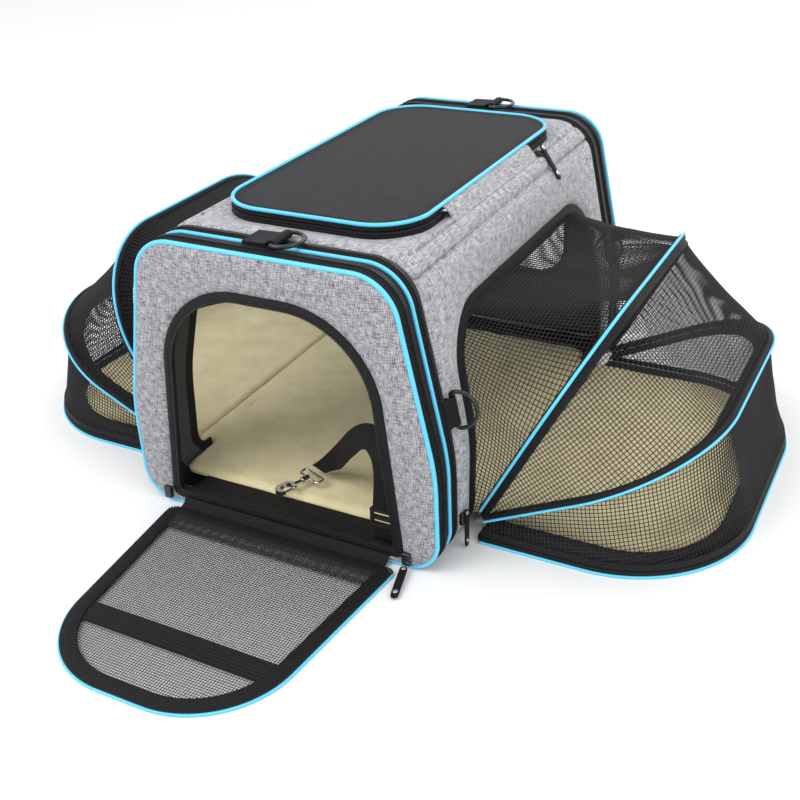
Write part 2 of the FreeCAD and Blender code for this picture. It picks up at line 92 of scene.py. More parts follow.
def makeStudio():
    floorMesh = bpy.data.meshes.new("floor")
    reach = studio["floorReach"]
    floorMesh.from_pydata(
        [(-reach, -reach, 0), (reach, -reach, 0), (reach, reach, 0), (-reach, reach, 0)], [], [(0, 1, 2, 3)]
    )
    floor = bpy.data.objects.new("floor", floorMesh)
    scene.collection.objects.link(floor)
    paper = bpy.data.materials.new("floorPaper")
    paper.use_nodes = True
    shader = paper.node_tree.nodes["Principled BSDF"]
    shader.inputs["Base Color"].default_value = studio["floor"]
    shader.inputs["Roughness"].default_value = studio["floorRoughness"]
    floorMesh.materials.append(paper)
    world = bpy.data.worlds.new("world")
    scene.world = world
    world.use_nodes = True
    background = world.node_tree.nodes["Background"]
    background.inputs["Color"].default_value = (1, 1, 1, 1)
    background.inputs["Strength"].default_value = studio["world"]
    for name in ("key", "fill", "rim"):
        values = studio[name]
        data = bpy.data.lights.new(name, "AREA")
        data.size = values["size"]
        data.energy = values["power"]
        lamp = bpy.data.objects.new(name, data)
        scene.collection.objects.link(lamp)
        aim = Vector(studio["aim"]) - Vector(values["place"])
        lamp.matrix_world = Matrix.Translation(values["place"]) @ aim.to_track_quat("-Z", "Y").to_matrix().to_4x4()


makeCamera()
makeStudio()
print("camera and studio ready")

# Shader node groups, built once and used in several materials


def newGroup(name, inputs, outputs):
    # an input without a value is a vector, a number a float and a tuple a colour
    group = bpy.data.node_groups.new(name, "ShaderNodeTree")
    for title, value in inputs.items():
        kind = "Vector" if value is None else "Float" if isinstance(value, float) else "Color"
        socket = group.interface.new_socket(title, in_out="INPUT", socket_type="NodeSocket" + kind)
        if value is not None:
            socket.default_value = value
    for title in outputs:
        kind = "Color" if title == "Color" else "Float"
        group.interface.new_socket(title, in_out="OUTPUT", socket_type="NodeSocket" + kind)
    return group, group.nodes.new("NodeGroupInput").outputs, group.nodes.new("NodeGroupOutput").inputs


def fillSockets(tree, sockets, values):
    for socket, value in zip(sockets, values):
        if isinstance(value, (int, float, tuple)):
            socket.default_value = value
        else:
            tree.links.new(value, socket)


def mathNode(tree, operation, *values):
    node = tree.nodes.new("ShaderNodeMath")
    node.operation = operation
    fillSockets(tree, node.inputs, values)
    return node.outputs[0]


def scaledVector(tree, vector, *scales):
    combine = tree.nodes.new("ShaderNodeCombineXYZ")
    fillSockets(tree, combine.inputs, scales)
    node = tree.nodes.new("ShaderNodeVectorMath")
    node.operation = "MULTIPLY"
    fillSockets(tree, node.inputs, (vector, combine.outputs[0]))
    return node.outputs[0]


def waves(tree, vector, acrossX, acrossY):
    # sine waves along x and along y
    parts = tree.nodes.new("ShaderNodeSeparateXYZ")
    tree.links.new(scaledVector(tree, vector, acrossX, acrossY, 0.0), parts.inputs[0])
    return [mathNode(tree, "SINE", parts.outputs[axis]) for axis in ("X", "Y")]


def noiseNode(tree, vector, scale, detail=2.0, roughness=0.5):
    node = tree.nodes.new("ShaderNodeTexNoise")
    titles = ("Vector", "Scale", "Detail", "Roughness")
    fillSockets(tree, [node.inputs[title] for title in titles], (vector, scale, detail, roughness))
    return node.outputs["Fac"]


def clamped(tree, value):
    node = tree.nodes.new("ShaderNodeClamp")
    tree.links.new(value, node.inputs[0])
    return node.outputs[0]


def mixColor(tree, factor, first, second):
    node = tree.nodes.new("ShaderNodeMix")
    node.data_type = "RGBA"
    fillSockets(tree, (node.inputs["Factor"], node.inputs[6], node.inputs[7]), (factor, first, second))
    return node.outputs[2]


weaveLook = {"cloudScale": 160.0, "cloudShare": 0.2, "yarnRise": 0.5}


def makeWeaveGroup():
    # two sets of slubby yarns, each thread with its own shade
    group, given, made = newGroup(
        "heatherWeave",
        {"Vector": None, "Threads": 900.0, "Slub": 0.2, "Contrast": 2.0, "Dark": (0.1, 0.1, 0.11, 1),
         "Light": (0.6, 0.6, 0.62, 1)},
        ("Color", "Height"),
    )
    calc = partial(mathNode, group)
    vector, threads = given["Vector"], given["Threads"]
    slow = calc("MULTIPLY", threads, given["Slub"])
    warp = noiseNode(group, scaledVector(group, vector, threads, slow, 1.0), 1.0, 1.0)
    weft = noiseNode(group, scaledVector(group, vector, slow, threads, 1.0), 1.0, 1.0)
    turns = calc("MULTIPLY", threads, math.pi)
    over = calc("MULTIPLY", *waves(group, vector, turns, turns))
    pick = calc("GREATER_THAN", over, 0.0)
    yarn = calc("ADD", calc("MULTIPLY", warp, pick), calc("MULTIPLY", weft, calc("SUBTRACT", 1.0, pick)))
    cloud = noiseNode(group, vector, weaveLook["cloudScale"], 3.0)
    share = weaveLook["cloudShare"]
    mixed = calc("ADD", calc("MULTIPLY", yarn, 1 - share), calc("MULTIPLY", cloud, share))
    sharp = calc("MULTIPLY_ADD", calc("SUBTRACT", mixed, 0.5), given["Contrast"], 0.5)
    group.links.new(mixColor(group, clamped(group, sharp), given["Dark"], given["Light"]), made["Color"])
    height = calc("ADD", calc("ABSOLUTE", over), calc("MULTIPLY", yarn, weaveLook["yarnRise"]))
    group.links.new(height, made["Height"])
    return group


ribLook = {"ribShare": 0.65, "dustScale": 90.0, "dustSpan": 1.2, "dustLow": 0.3}


def makeRibGroup():
    # raised ribs across a woven tape, broken up by its weft; the colour follows the rib height, with painted shade in
    # the valleys and a painted highlight on the crests
    group, given, made = newGroup(
        "tapeRibs",
        {"Vector": None, "Across": 500.0, "Along": 700.0, "Valley": (0.004, 0.004, 0.005, 1),
         "Crest": (0.03, 0.03, 0.034, 1)},
        ("Color", "Height"),
    )
    calc = partial(mathNode, group)
    along, across = (calc("MULTIPLY", given[title], 2 * math.pi) for title in ("Along", "Across"))
    picks, ribs = (calc("MULTIPLY_ADD", wave, 0.5, 0.5) for wave in waves(group, given["Vector"], along, across))
    share = ribLook["ribShare"]
    weave = calc("ADD", calc("MULTIPLY", ribs, share), calc("MULTIPLY", picks, 1 - share))
    dust = noiseNode(group, given["Vector"], ribLook["dustScale"], 3.0)
    tone = calc("MULTIPLY", weave, calc("MULTIPLY_ADD", dust, ribLook["dustSpan"], ribLook["dustLow"]))
    # the rib height sets the colour: painted shade in the valleys, painted highlight on the crests
    group.links.new(mixColor(group, tone, given["Valley"], given["Crest"]), made["Color"])
    group.links.new(weave, made["Height"])
    return group


def makeGrainGroup():
    # fine unevenness and faint wear, for smooth finishes
    group, given, made = newGroup(
        "fineGrain",
        {"Vector": None, "Scale": 900.0, "Low": 0.3, "High": 0.5, "Base": (0.5, 0.5, 0.5, 1),
         "Worn": (0.6, 0.6, 0.6, 1)},
        ("Color", "Roughness", "Height"),
    )
    calc = partial(mathNode, group)
    broadShare = 0.06
    fine = noiseNode(group, given["Vector"], given["Scale"], 2.0)
    broad = noiseNode(group, given["Vector"], calc("MULTIPLY", given["Scale"], broadShare), 3.0)
    both = calc("MULTIPLY", calc("ADD", fine, broad), 0.5)
    span = calc("SUBTRACT", given["High"], given["Low"])
    group.links.new(calc("MULTIPLY_ADD", both, span, given["Low"]), made["Roughness"])
    group.links.new(mixColor(group, both, given["Base"], given["Worn"]), made["Color"])
    group.links.new(fine, made["Height"])
    return group


pileLook = {"tuftShare": 0.7, "patchShare": 0.55, "patchScale": 34.0, "middle": 0.62, "contrast": 1.9, "level": 0.6}


def makePileGroup():
    # short brushed pile lying in soft patches
    group, given, made = newGroup(
        "fleecePile",
        {"Vector": None, "Tuft": 900.0, "Shade": (0.4, 0.33, 0.18, 1), "Light": (0.7, 0.62, 0.4, 1)},
        ("Color", "Height"),
    )
    calc = partial(mathNode, group)
    tufts = noiseNode(group, given["Vector"], given["Tuft"], 3.0, 0.65)
    patches = noiseNode(group, given["Vector"], pileLook["patchScale"], 4.0, 0.6)
    lit, patched = (
        calc("MULTIPLY", tufts, pileLook["tuftShare"]), calc("MULTIPLY", patches, pileLook["patchShare"])
    )
    centred = calc("SUBTRACT", calc("ADD", lit, patched), pileLook["middle"])
    tone = calc("MULTIPLY_ADD", centred, pileLook["contrast"], pileLook["level"])
    group.links.new(mixColor(group, clamped(group, tone), given["Shade"], given["Light"]), made["Color"])
    group.links.new(tufts, made["Height"])
    return group


groups = {"weave": makeWeaveGroup(), "ribs": makeRibGroup(), "grain": makeGrainGroup(), "pile": makePileGroup()}
print("node groups ready")

# Materials

def finishRecipe(group, bump, plain, **values):
    return {"group": group, "bump": bump, "plain": plain, "values": values}


finishes = {
    "sideFabric": finishRecipe(
        "weave", 0.35, {"Roughness": 0.92, "Sheen Weight": 0.15}, Threads=1250.0, Slub=0.09, Contrast=4.2,
        Dark=(0.12, 0.12, 0.135, 1), Light=(0.6, 0.6, 0.63, 1)
    ),
    "endFabric": finishRecipe(
        "weave", 0.3, {"Roughness": 0.92, "Sheen Weight": 0.1}, Threads=1350.0, Slub=0.11, Contrast=4.6,
        Dark=(0.085, 0.085, 0.1, 1), Light=(0.5, 0.5, 0.53, 1)
    ),
    "lining": finishRecipe(
        "weave", 0.2, {"Roughness": 0.85}, Threads=1400.0, Slub=0.6, Contrast=1.5, Dark=(0.03, 0.03, 0.034, 1),
        Light=(0.1, 0.1, 0.11, 1)
    ),
    # the ribbed finishes take a dark valley colour as painted shade and a lighter crest colour as a painted highlight
    "blackTape": finishRecipe(
        "ribs", 0.7, {"Roughness": 0.6, "Specular IOR Level": 0.22}, Across=620.0, Along=500.0,
        Valley=(0.002, 0.002, 0.0025, 1), Crest=(0.014, 0.014, 0.016, 1)
    ),
    "zipTape": finishRecipe(
        "ribs", 0.7, {"Roughness": 0.55, "Specular IOR Level": 0.22}, Across=800.0, Along=300.0,
        Valley=(0.002, 0.002, 0.0025, 1), Crest=(0.012, 0.012, 0.014, 1)
    ),
    "netYarn": finishRecipe(
        "grain", 0.1, {"Specular IOR Level": 0.35}, Scale=2500.0, Low=0.5, High=0.75, Base=(0.012, 0.012, 0.014, 1),
        Worn=(0.03, 0.03, 0.034, 1)
    ),
    "lidNet": finishRecipe(
        "ribs", 1.0, {"Roughness": 0.6, "Specular IOR Level": 0.25}, Across=560.0, Along=560.0,
        Valley=(0.002, 0.002, 0.0025, 1), Crest=(0.034, 0.034, 0.038, 1)
    ),
    "bluePiping": finishRecipe(
        "grain", 0.12, {"Coat Weight": 0.1, "Coat Roughness": 0.4}, Scale=1400.0, Low=0.35, High=0.55,
        Base=(0.07, 0.52, 0.82, 1), Worn=(0.14, 0.66, 0.92, 1)
    ),
    "tanFleece": finishRecipe(
        "pile", 0.5, {"Roughness": 0.95, "Sheen Weight": 0.35, "Sheen Roughness": 0.4}, Shade=(0.58, 0.49, 0.25, 1),
        Light=(0.9, 0.81, 0.5, 1)
    ),
    "blackEnamel": finishRecipe(
        "grain", 0.04, {"Coat Weight": 0.3, "Coat Roughness": 0.15, "Specular IOR Level": 0.35}, Scale=700.0,
        Low=0.2, High=0.36, Base=(0.004, 0.008, 0.009, 1), Worn=(0.02, 0.02, 0.022, 1)
    ),
    "blackPlastic": finishRecipe(
        "grain", 0.15, {}, Scale=1200.0, Low=0.32, High=0.55, Base=(0.01, 0.01, 0.011, 1),
        Worn=(0.022, 0.022, 0.024, 1)
    ),
    "nickel": finishRecipe(
        "grain", 0.05, {"Metallic": 1.0}, Scale=800.0, Low=0.12, High=0.3, Base=(0.62, 0.6, 0.57, 1),
        Worn=(0.8, 0.78, 0.75, 1)
    ),
    "springWire": finishRecipe(
        "grain", 0.05, {"Metallic": 1.0}, Scale=1500.0, Low=0.3, High=0.5, Base=(0.3, 0.3, 0.3, 1),
        Worn=(0.45, 0.45, 0.45, 1)
    ),
    "boardCloth": finishRecipe(
        "weave", 0.3, {"Roughness": 0.85}, Threads=1100.0, Slub=0.5, Contrast=1.5, Dark=(0.008, 0.008, 0.01, 1),
        Light=(0.035, 0.035, 0.04, 1)
    ),
}


def makeMaterial(name, recipe, source):
    material = bpy.data.materials.new(name + ("" if source == "UV" else "Solid"))
    material.use_nodes = True
    tree = material.node_tree
    shader = tree.nodes["Principled BSDF"]
    coordinates = tree.nodes.new("ShaderNodeTexCoord")
    group = tree.nodes.new("ShaderNodeGroup")
    group.node_tree = groups[recipe["group"]]
    tree.links.new(coordinates.outputs[source], group.inputs["Vector"])
    for title, value in recipe["values"].items():
        group.inputs[title].default_value = value
    for title, value in recipe["plain"].items():
        shader.inputs[title].default_value = value
    tree.links.new(group.outputs["Color"], shader.inputs["Base Color"])
    if "Roughness" in group.outputs:
        tree.links.new(group.outputs["Roughness"], shader.inputs["Roughness"])
    bump = tree.nodes.new("ShaderNodeBump")
    bump.inputs["Strength"].default_value = recipe["bump"]
    bump.inputs["Distance"].default_value = 0.0006
    tree.links.new(group.outputs["Height"], bump.inputs["Height"])
    tree.links.new(bump.outputs["Normal"], shader.inputs["Normal"])
    return material


# cut cloth follows its own mesh, solid parts take the pattern from their place
cloth = {name: makeMaterial(name, recipe, "UV") for name, recipe in finishes.items()}
solid = {name: makeMaterial(name, recipe, "Object") for name, recipe in finishes.items()}
print("materials ready")

# Lines and outlines, in millimetres


def resampled(points, closed, step):
    ring = list(points) + ([points[0]] if closed else [])
    runs = [0.0]
    for first, second in zip(ring, ring[1:]):
        runs.append(runs[-1] + (second - first).length)
    count = max(2, round(runs[-1] / step))
    result = []
    for index in range(count + (0 if closed else 1)):
        target = runs[-1] * index / count
        place = min(max(bisect.bisect_right(runs, target) - 1, 0), len(ring) - 2)
        share = (target - runs[place]) / max(runs[place + 1] - runs[place], 1e-9)
        result.append(ring[place].lerp(ring[place + 1], min(share, 1.0)))
    return result


def outline(points, radii, closed=True, step=3.0):
    corners = [Vector(point) for point in points]
    count = len(corners)
    dense = []
    for index, corner in enumerate(corners):
        radius = radii[index]
        if radius == 0:
            dense.append(corner)
            continue
        before = (corners[index - 1] - corner).normalized()
        after = (corners[(index + 1) % count] - corner).normalized()
        half = before.angle(after) / 2
        centre = corner + (before + after).normalized() * (radius / math.sin(half))
        spoke = corner + before * (radius / math.tan(half)) - centre
        turn = math.copysign(math.pi - 2 * half, before.y * after.x - before.x * after.y)
        steps = max(3, math.ceil(radius * abs(turn) / 1.5))
        for k in range(steps + 1):
            dense.append(centre + Matrix.Rotation(turn * k / steps, 2) @ spoke)
    return resampled(dense, closed, step)


def outwards(loop, closed=True):
    # unit normals to the right of the direction of travel, so outwards on an anticlockwise loop
    count = len(loop)
    result = []
    for index in range(count):
        before = loop[index - 1] if closed or index else loop[0]
        after = loop[(index + 1) % count] if closed or index < count - 1 else loop[-1]
        along = (after - before).normalized()
        result.append(Vector((along.y, -along.x)))
    return result


body = {
    "halfBase": 147.0, "halfTop": 114.0, "height": 256.0, "lean": 96.0, "bottom": 2.5,
    "baseRadius": 28.0, "waistRadius": 200.0, "shoulderRadius": 38.0,
    "front": -232.25, "bodyFront": -192.0, "bodyRear": 196.0, "seams": (-230.0, -207.0, 230.0),
    "piping": 2.25, "topSeam": 240.0, "sill": 3.0,
}


def insetBody(distance, step=3.0):
    # the end outline, from the middle of the base round to the right
    bottom, high = body["bottom"] + distance, body["height"] - distance
    tilt = (body["halfBase"] - body["halfTop"]) / (body["height"] - body["lean"])
    halfTop = body["halfTop"] - distance * (math.sqrt(1 + tilt * tilt) - tilt)
    halfBase = body["halfBase"] - distance
    low, waist, shoulder = body["baseRadius"] - distance, body["waistRadius"], body["shoulderRadius"] - distance
    return outline(
        [(0, bottom), (halfBase, bottom), (halfBase, body["lean"]), (halfTop, high), (-halfTop, high),
         (-halfBase, body["lean"]), (-halfBase, bottom)],
        [0, low, waist, shoulder, shoulder, waist, low], step=step,
    )


bodyLoop = insetBody(0.0, 2.5)
bodyNormals = outwards(bodyLoop)
bodyRuns = [0.0]
for first, second in zip(bodyLoop, bodyLoop[1:] + bodyLoop[:1]):
    bodyRuns.append(bodyRuns[-1] + (second - first).length)


def onBody(s, y, lift):
    # a point on the body's skin: s runs round the end outline from the middle of the base
    s %= bodyRuns[-1]
    index = min(bisect.bisect_right(bodyRuns, s) - 1, len(bodyLoop) - 1)
    share = (s - bodyRuns[index]) / (bodyRuns[index + 1] - bodyRuns[index])
    following = (index + 1) % len(bodyLoop)
    place = bodyLoop[index].lerp(bodyLoop[following], share)
    normal = bodyNormals[index].lerp(bodyNormals[following], share).normalized()
    place = place + normal * lift
    return Vector((place.x, y, place.y))


def runAtHeight(z):
    # on the right-hand side
    for index in range(len(bodyLoop)):
        low, high = bodyLoop[index], bodyLoop[index + 1]
        if low.x > 0 and low.y <= z <= high.y and high.y > low.y:
            return bodyRuns[index] + (z - low.y) / (high.y - low.y) * (bodyRuns[index + 1] - bodyRuns[index])
    return bodyRuns[-1] / 2


def runAtSide(x):
    # over the roof, from the right shoulder to the left one
    for index in range(len(bodyLoop) // 4, len(bodyLoop) - 1):
        low, high = bodyLoop[index], bodyLoop[index + 1]
        if low.y > body["lean"] and low.x >= x >= high.x and low.x > high.x:
            return bodyRuns[index] + (low.x - x) / (low.x - high.x) * (bodyRuns[index + 1] - bodyRuns[index])
    return bodyRuns[-1] / 2


def roofHeight(x):
    return onBody(runAtSide(max(-112.0, min(112.0, x))), 0, 0).z


# Mesh making

sharpAngle = 50


def tubeFaces(rows, wide, closed=False, flip=False):
    # quads between rows of points that each go round a section, with both ends closed by a face
    faces = []
    for row in range(rows if closed else rows - 1):
        a, b = row * wide, (row + 1) % rows * wide
        for k in range(wide):
            right = (k + 1) % wide
            faces.append((a + k, b + k, b + right, a + right) if flip else (a + k, a + right, b + right, b + k))
    if not closed:
        first, last = tuple(range(wide)), tuple(range((rows - 1) * wide, rows * wide))
        faces += [first, last[::-1]] if flip else [first[::-1], last]
    return faces


def twoPlies(line, half):
    # a section round a line, half to each side of it
    normals = outwards(line, False)
    return [p + n * half for p, n in zip(line, normals)] + [p - n * half for p, n in reversed(list(zip(line, normals)))]


def asGiven(x, y, w):
    return Vector((x, y, w))


def makePiece(name, points, faces, finish, carrier, mirror=False, uvs=None, second=None, marks=None, smooth=True,
              source=None):
    mesh = bpy.data.meshes.new(name)
    sign = -1 if mirror else 1
    points = [(sign * p[0] * mm, p[1] * mm, p[2] * mm) for p in points]
    if mirror:
        faces = [tuple(reversed(face)) for face in faces]
    mesh.from_pydata(points, [], faces)
    mesh.update()
    layer = mesh.uv_layers.new(name="UVMap")
    if uvs is None:
        for loop in mesh.loops:
            x, y, z = mesh.vertices[loop.vertex_index].co
            layer.data[loop.index].uv = (x, y)
    else:
        for loop in mesh.loops:
            layer.data[loop.index].uv = uvs[loop.vertex_index]
    table = cloth if source is None else solid
    mesh.materials.append(table[finish])
    if second:
        mesh.materials.append(table[second])
        for face, mark in zip(mesh.polygons, marks):
            face.material_index = mark
    if smooth:
        mesh.polygons.foreach_set("use_smooth", [True] * len(mesh.polygons))
        mesh.set_sharp_from_angle(angle=math.radians(sharpAngle))
    obj = bpy.data.objects.new(name, mesh)
    scene.collection.objects.link(obj)
    if carrier:
        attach(obj, carrier)
    return obj


def rayLoop(loop, centre, angles):
    # where rays from the centre meet a loop
    result = []
    for angle in angles:
        ray = Vector((math.cos(angle), math.sin(angle)))
        best = None
        for first, second in zip(loop, loop[1:] + loop[:1]):
            edge = second - first
            bottom = ray.x * edge.y - ray.y * edge.x
            if abs(bottom) < 1e-12:
                continue
            gap = first - centre
            reach = (gap.x * edge.y - gap.y * edge.x) / bottom
            share = (gap.x * ray.y - gap.y * ray.x) / bottom
            if reach > 0 and -1e-6 <= share <= 1 + 1e-6 and (best is None or reach > best):
                best = reach
        result.append(centre + ray * (best or 0.0))
    return result


def ringSheet(name, inner, outer, centre, place, lift, thick, finish, carrier, count=320, rings=10, mirror=False,
              second=None, capped=False):
    # a panel between two outlines, with the lift at each share of the way out
    centre = Vector(centre)
    angles = [2 * math.pi * k / count for k in range(count)]
    for loop in (inner, outer):
        for index, point in enumerate(loop):
            before = point - loop[index - 1]
            after = loop[(index + 1) % len(loop)] - point
            if before.length > 1e-6 and after.length > 1e-6 and before.angle(after) > 0.5:
                angles.append(math.atan2(point.y - centre.y, point.x - centre.x) % (2 * math.pi))
    angles = sorted(angles)
    low, high = rayLoop(inner, centre, angles), rayLoop(outer, centre, angles)
    total = len(angles)
    points, uvs, faces, marks = [], [], [], []
    for side in (0, 1):
        for ring in range(rings + 1):
            share = ring / rings
            for k in range(total):
                flat = low[k].lerp(high[k], share)
                rise = lift(share, (high[k] - low[k]).length) if side == 0 else -thick
                points.append(place(flat.x, flat.y, rise))
                uvs.append((flat.x * mm, flat.y * mm))
    layer = (rings + 1) * total
    for ring in range(rings):
        for k in range(total):
            following = (k + 1) % total
            a, b = ring * total + k, ring * total + following
            c, d = a + total, b + total
            faces += [(a, c, d, b), (a + layer, b + layer, d + layer, c + layer)]
            marks += [0, 1]
    for k in range(total):
        following = (k + 1) % total
        if not capped:
            faces.append((k, following, following + layer, k + layer))
            marks.append(0)
        edge = rings * total
        faces.append((edge + following, edge + k, edge + k + layer, edge + following + layer))
        marks.append(0)
    if capped:
        points += [place(centre.x, centre.y, lift(0.0, (high[0] - low[0]).length)), place(centre.x, centre.y, -thick)]
        uvs += [(centre.x * mm, centre.y * mm)] * 2
        for k in range(total):
            following = (k + 1) % total
            faces += [(k, following, 2 * layer), (layer + following, layer + k, 2 * layer + 1)]
            marks += [0, 0]
    return makePiece(name, points, faces, finish, carrier, mirror, uvs, second, marks)


def sweptBand(name, loop, closed, section, place, finish, carrier, mirror=False):
    # a section of (outwards, height) points carried along a flat line
    points, uvs = [], []
    run = 0.0
    around = [0.0]
    for first, second in zip(section, section[1:]):
        around.append(around[-1] + math.dist(first, second))
    for index, (point, normal) in enumerate(zip(loop, outwards(loop, closed))):
        if index:
            run += (point - loop[index - 1]).length
        for (out, high), across in zip(section, around):
            flat = point + normal * out
            points.append(place(flat.x, flat.y, high))
            uvs.append((run * mm, across * mm))
    return makePiece(name, points, tubeFaces(len(loop), len(section), closed), finish, carrier, mirror, uvs)


def roundSection(radius, out=0.0, high=0.0, count=12):
    return [
        (out + radius * math.cos(-2 * math.pi * k / count), high + radius * math.sin(-2 * math.pi * k / count))
        for k in range(count)
    ]


def teeth(name, loop, closed, pitch, size, place, out, high, carrier):
    # a zip's row of small teeth along a line: size is along, across and tall
    spots = resampled(loop, closed, pitch)
    normals = outwards(spots, closed)
    long, wide, tall = size
    points, faces = [], []
    for spot, normal in zip(spots, normals):
        along = Vector((-normal.y, normal.x))
        base = len(points)
        for level, spread in ((0, 1.0), (tall, 0.72)):
            for i, j in ((-1, -1), (1, -1), (1, 1), (-1, 1)):
                flat = spot + along * (i * long / 2 * spread) + normal * (out + j * wide / 2 * spread)
                points.append(place(flat.x, flat.y, high + level))
        faces += [
            (base, base + 3, base + 2, base + 1), (base + 4, base + 5, base + 6, base + 7),
            (base, base + 1, base + 5, base + 4), (base + 1, base + 2, base + 6, base + 5),
            (base + 2, base + 3, base + 7, base + 6), (base + 3, base, base + 4, base + 7),
        ]
    return makePiece(name, points, faces, "blackPlastic", carrier, smooth=False, source="solid")


def netFromQuads(name, points, faces, yarn, carrier, mirror=False):
    # turns a grid of cells into a net of yarns, each cell an open hole: yarn is width and height
    wide, tall = yarn
    points = [Vector(point) for point in points]
    normals = [Vector((0, 0, 0)) for _ in points]
    area = 0.0
    uses = {}
    for face in faces:
        corners = [points[k] for k in face]
        facing = Vector((0, 0, 0))
        for first, second in zip(corners[1:], corners[2:]):
            facing += (first - corners[0]).cross(second - corners[0]) / 2
        area += facing.length * 1e-6
        for k in face:
            normals[k] += facing
        for first, second in zip(face, face[1:] + face[:1]):
            uses[tuple(sorted((first, second)))] = uses.get(tuple(sorted((first, second))), 0) + 1
    count = len(points)
    rise = [normal.normalized() * tall / 2 if normal.length > 1e-9 else Vector((0, 0, tall / 2)) for normal in normals]
    made = [p + r for p, r in zip(points, rise)] + [p - r for p, r in zip(points, rise)]
    walls = []
    for face in faces:
        size = len(face)
        base = len(made)
        for index, k in enumerate(face):
            back = points[face[index - 1]] - points[k]
            ahead = points[face[(index + 1) % size]] - points[k]
            shortest = min(back.length, ahead.length)
            turn = max(math.sin(back.angle(ahead, 1.0)), 0.3)
            made.append(points[k] + (back.normalized() + ahead.normalized()) * min(wide / 2 / turn, 0.42 * shortest))
        for index, k in enumerate(face):
            following = (index + 1) % size
            other = face[following]
            walls.append((k, other, base + following, base + index))
            walls.append((other + count, k + count, base + index, base + following))
            if uses[tuple(sorted((k, other)))] == 1:
                walls.append((other, k, k + count, other + count))
    return makePiece(name, made, walls, "netYarn", carrier, mirror, smooth=False, source="solid"), area


def insideLoop(loop, x, y):
    inside = False
    for first, second in zip(loop, loop[1:] + loop[:1]):
        if (first.y > y) != (second.y > y):
            crossing = first.x + (y - first.y) / (second.y - first.y) * (second.x - first.x)
            inside = inside != (x < crossing)
    return inside


def flatNet(name, loop, pitch, yarn, place, carrier):
    # a net cut to an outline, its ragged edge hidden under the binding
    xs, ys = [p.x for p in loop], [p.y for p in loop]
    columns = math.ceil((max(xs) - min(xs)) / pitch)
    rows = math.ceil((max(ys) - min(ys)) / pitch)
    keep, points, faces = {}, [], []
    flags = [
        [insideLoop(loop, min(xs) + i * pitch, min(ys) + j * pitch) for j in range(rows + 1)]
        for i in range(columns + 1)
    ]
    for i in range(columns):
        for j in range(rows):
            if flags[i][j] and flags[i + 1][j] and flags[i][j + 1] and flags[i + 1][j + 1]:
                face = []
                for a, b in ((i, j), (i + 1, j), (i + 1, j + 1), (i, j + 1)):
                    if (a, b) not in keep:
                        keep[a, b] = len(points)
                        points.append(place(min(xs) + a * pitch, min(ys) + b * pitch, 0.0))
                    face.append(keep[a, b])
                faces.append(tuple(face))
    return netFromQuads(name, points, faces, yarn, carrier)


def cutSize(loop):
    xs, ys = [p.x for p in loop], [p.y for p in loop]
    return round((max(xs) - min(xs)) * mm, 4), round((max(ys) - min(ys)) * mm, 4)


def retire(piece, *nodes):
    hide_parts(*nodes)
    return piece


# Body panels

panels = {"crown": 4.0, "topCrown": 4.5, "endCrown": 1.6, "rearCrown": 5.0}


def padLift(crown):
    def lift(share, width):
        edge = min(share, 1 - share) * width
        return crown * (1 - math.exp(-edge / 6.0)) - 1.2 * math.exp(-edge / 1.6)
    return lift


def fourSided(low, high, bottom, top, radii, step=3.0):
    # low and high are half widths at the bottom and the top
    return outline([(-low, bottom), (low, bottom), (high, top), (-high, top)], radii, step=step)


def sideOutline(inset):
    low, high = 18.0 - inset, 55.0 - inset
    return fourSided(172.0 - inset, 158.0 - inset, 6.0 + inset * 4.0 / 12.0, 199.0 - inset, [low, low, high, high])


def sideToRun(loop):
    return [Vector((runAtHeight(point.y), point.x)) for point in loop]


sideLow, sideHigh = runAtHeight(body["sill"]), runAtHeight(body["topSeam"])


def rectangle(lowS, highS, lowY, highY):
    return outline([(lowS, lowY), (highS, lowY), (highS, highY), (lowS, highY)], [0, 0, 0, 0], step=4.0)


for side in ("right", "left"):
    mirror = side == "left"
    panel = ringSheet(
        f"{side}_side_cloth", sideToRun(sideOutline(1.0)),
        rectangle(sideLow, sideHigh, body["bodyFront"], body["bodyRear"]),
        ((sideLow + sideHigh) / 2, 2.0), onBody, padLift(panels["crown"]), 4.6, "sideFabric", "carrier",
        count=420, rings=12, mirror=mirror, second="lining",
    )
    retire(panel, f"{side}_side_panel")
    binding = sweptBand(
        f"{side}_opening_edge", [Vector((p.y, p.x)) for p in reversed(sideOutline(6.0))], True,
        [(6.4, -1.0), (6.4, 0.8), (4.0, 2.2), (0.0, 2.5), (-4.0, 2.2), (-6.2, 0.6), (-6.2, -4.4), (6.0, -4.4)],
        lambda z, y, w: onBody(runAtHeight(max(body["sill"], z)), y, w), "blackTape", "carrier", mirror,
    )
    retire(binding, f"{side}_opening_binding")

roofLow, roofHigh = sideHigh, bodyRuns[-1] - sideHigh


def lidOutline(inset):
    wide = 92.0 - inset
    return fourSided(wide, wide, -158.0 + inset, 176.0 - inset, [45.0 - inset] * 4)


roofShape = {
    "sag": 7.0, "seam": 17.0, "groove": 3.2, "grooveWidth": 1.9, "halfRoof": 112.0, "endEase": 34.0, "sideEase": 22.0,
}


def roofSag(x, y):
    # the end frames hold the roof up, and it hangs a little lower between them
    ends = min(y - body["bodyFront"], body["bodyRear"] - y) / roofShape["endEase"]
    sides = (roofShape["halfRoof"] - abs(x)) / roofShape["sideEase"]
    soft = [max(0.0, min(1.0, share)) for share in (ends, sides)]
    return roofShape["sag"] * math.prod(share * share * (3 - 2 * share) for share in soft)


def onRoofCloth(s, y, lift):
    edge = min(s - roofLow, roofHigh - s)
    lift -= roofShape["groove"] * math.exp(-((edge - roofShape["seam"]) / roofShape["grooveWidth"]) ** 2)
    place = onBody(s, y, lift)
    place.z -= roofSag(place.x, y)
    return place


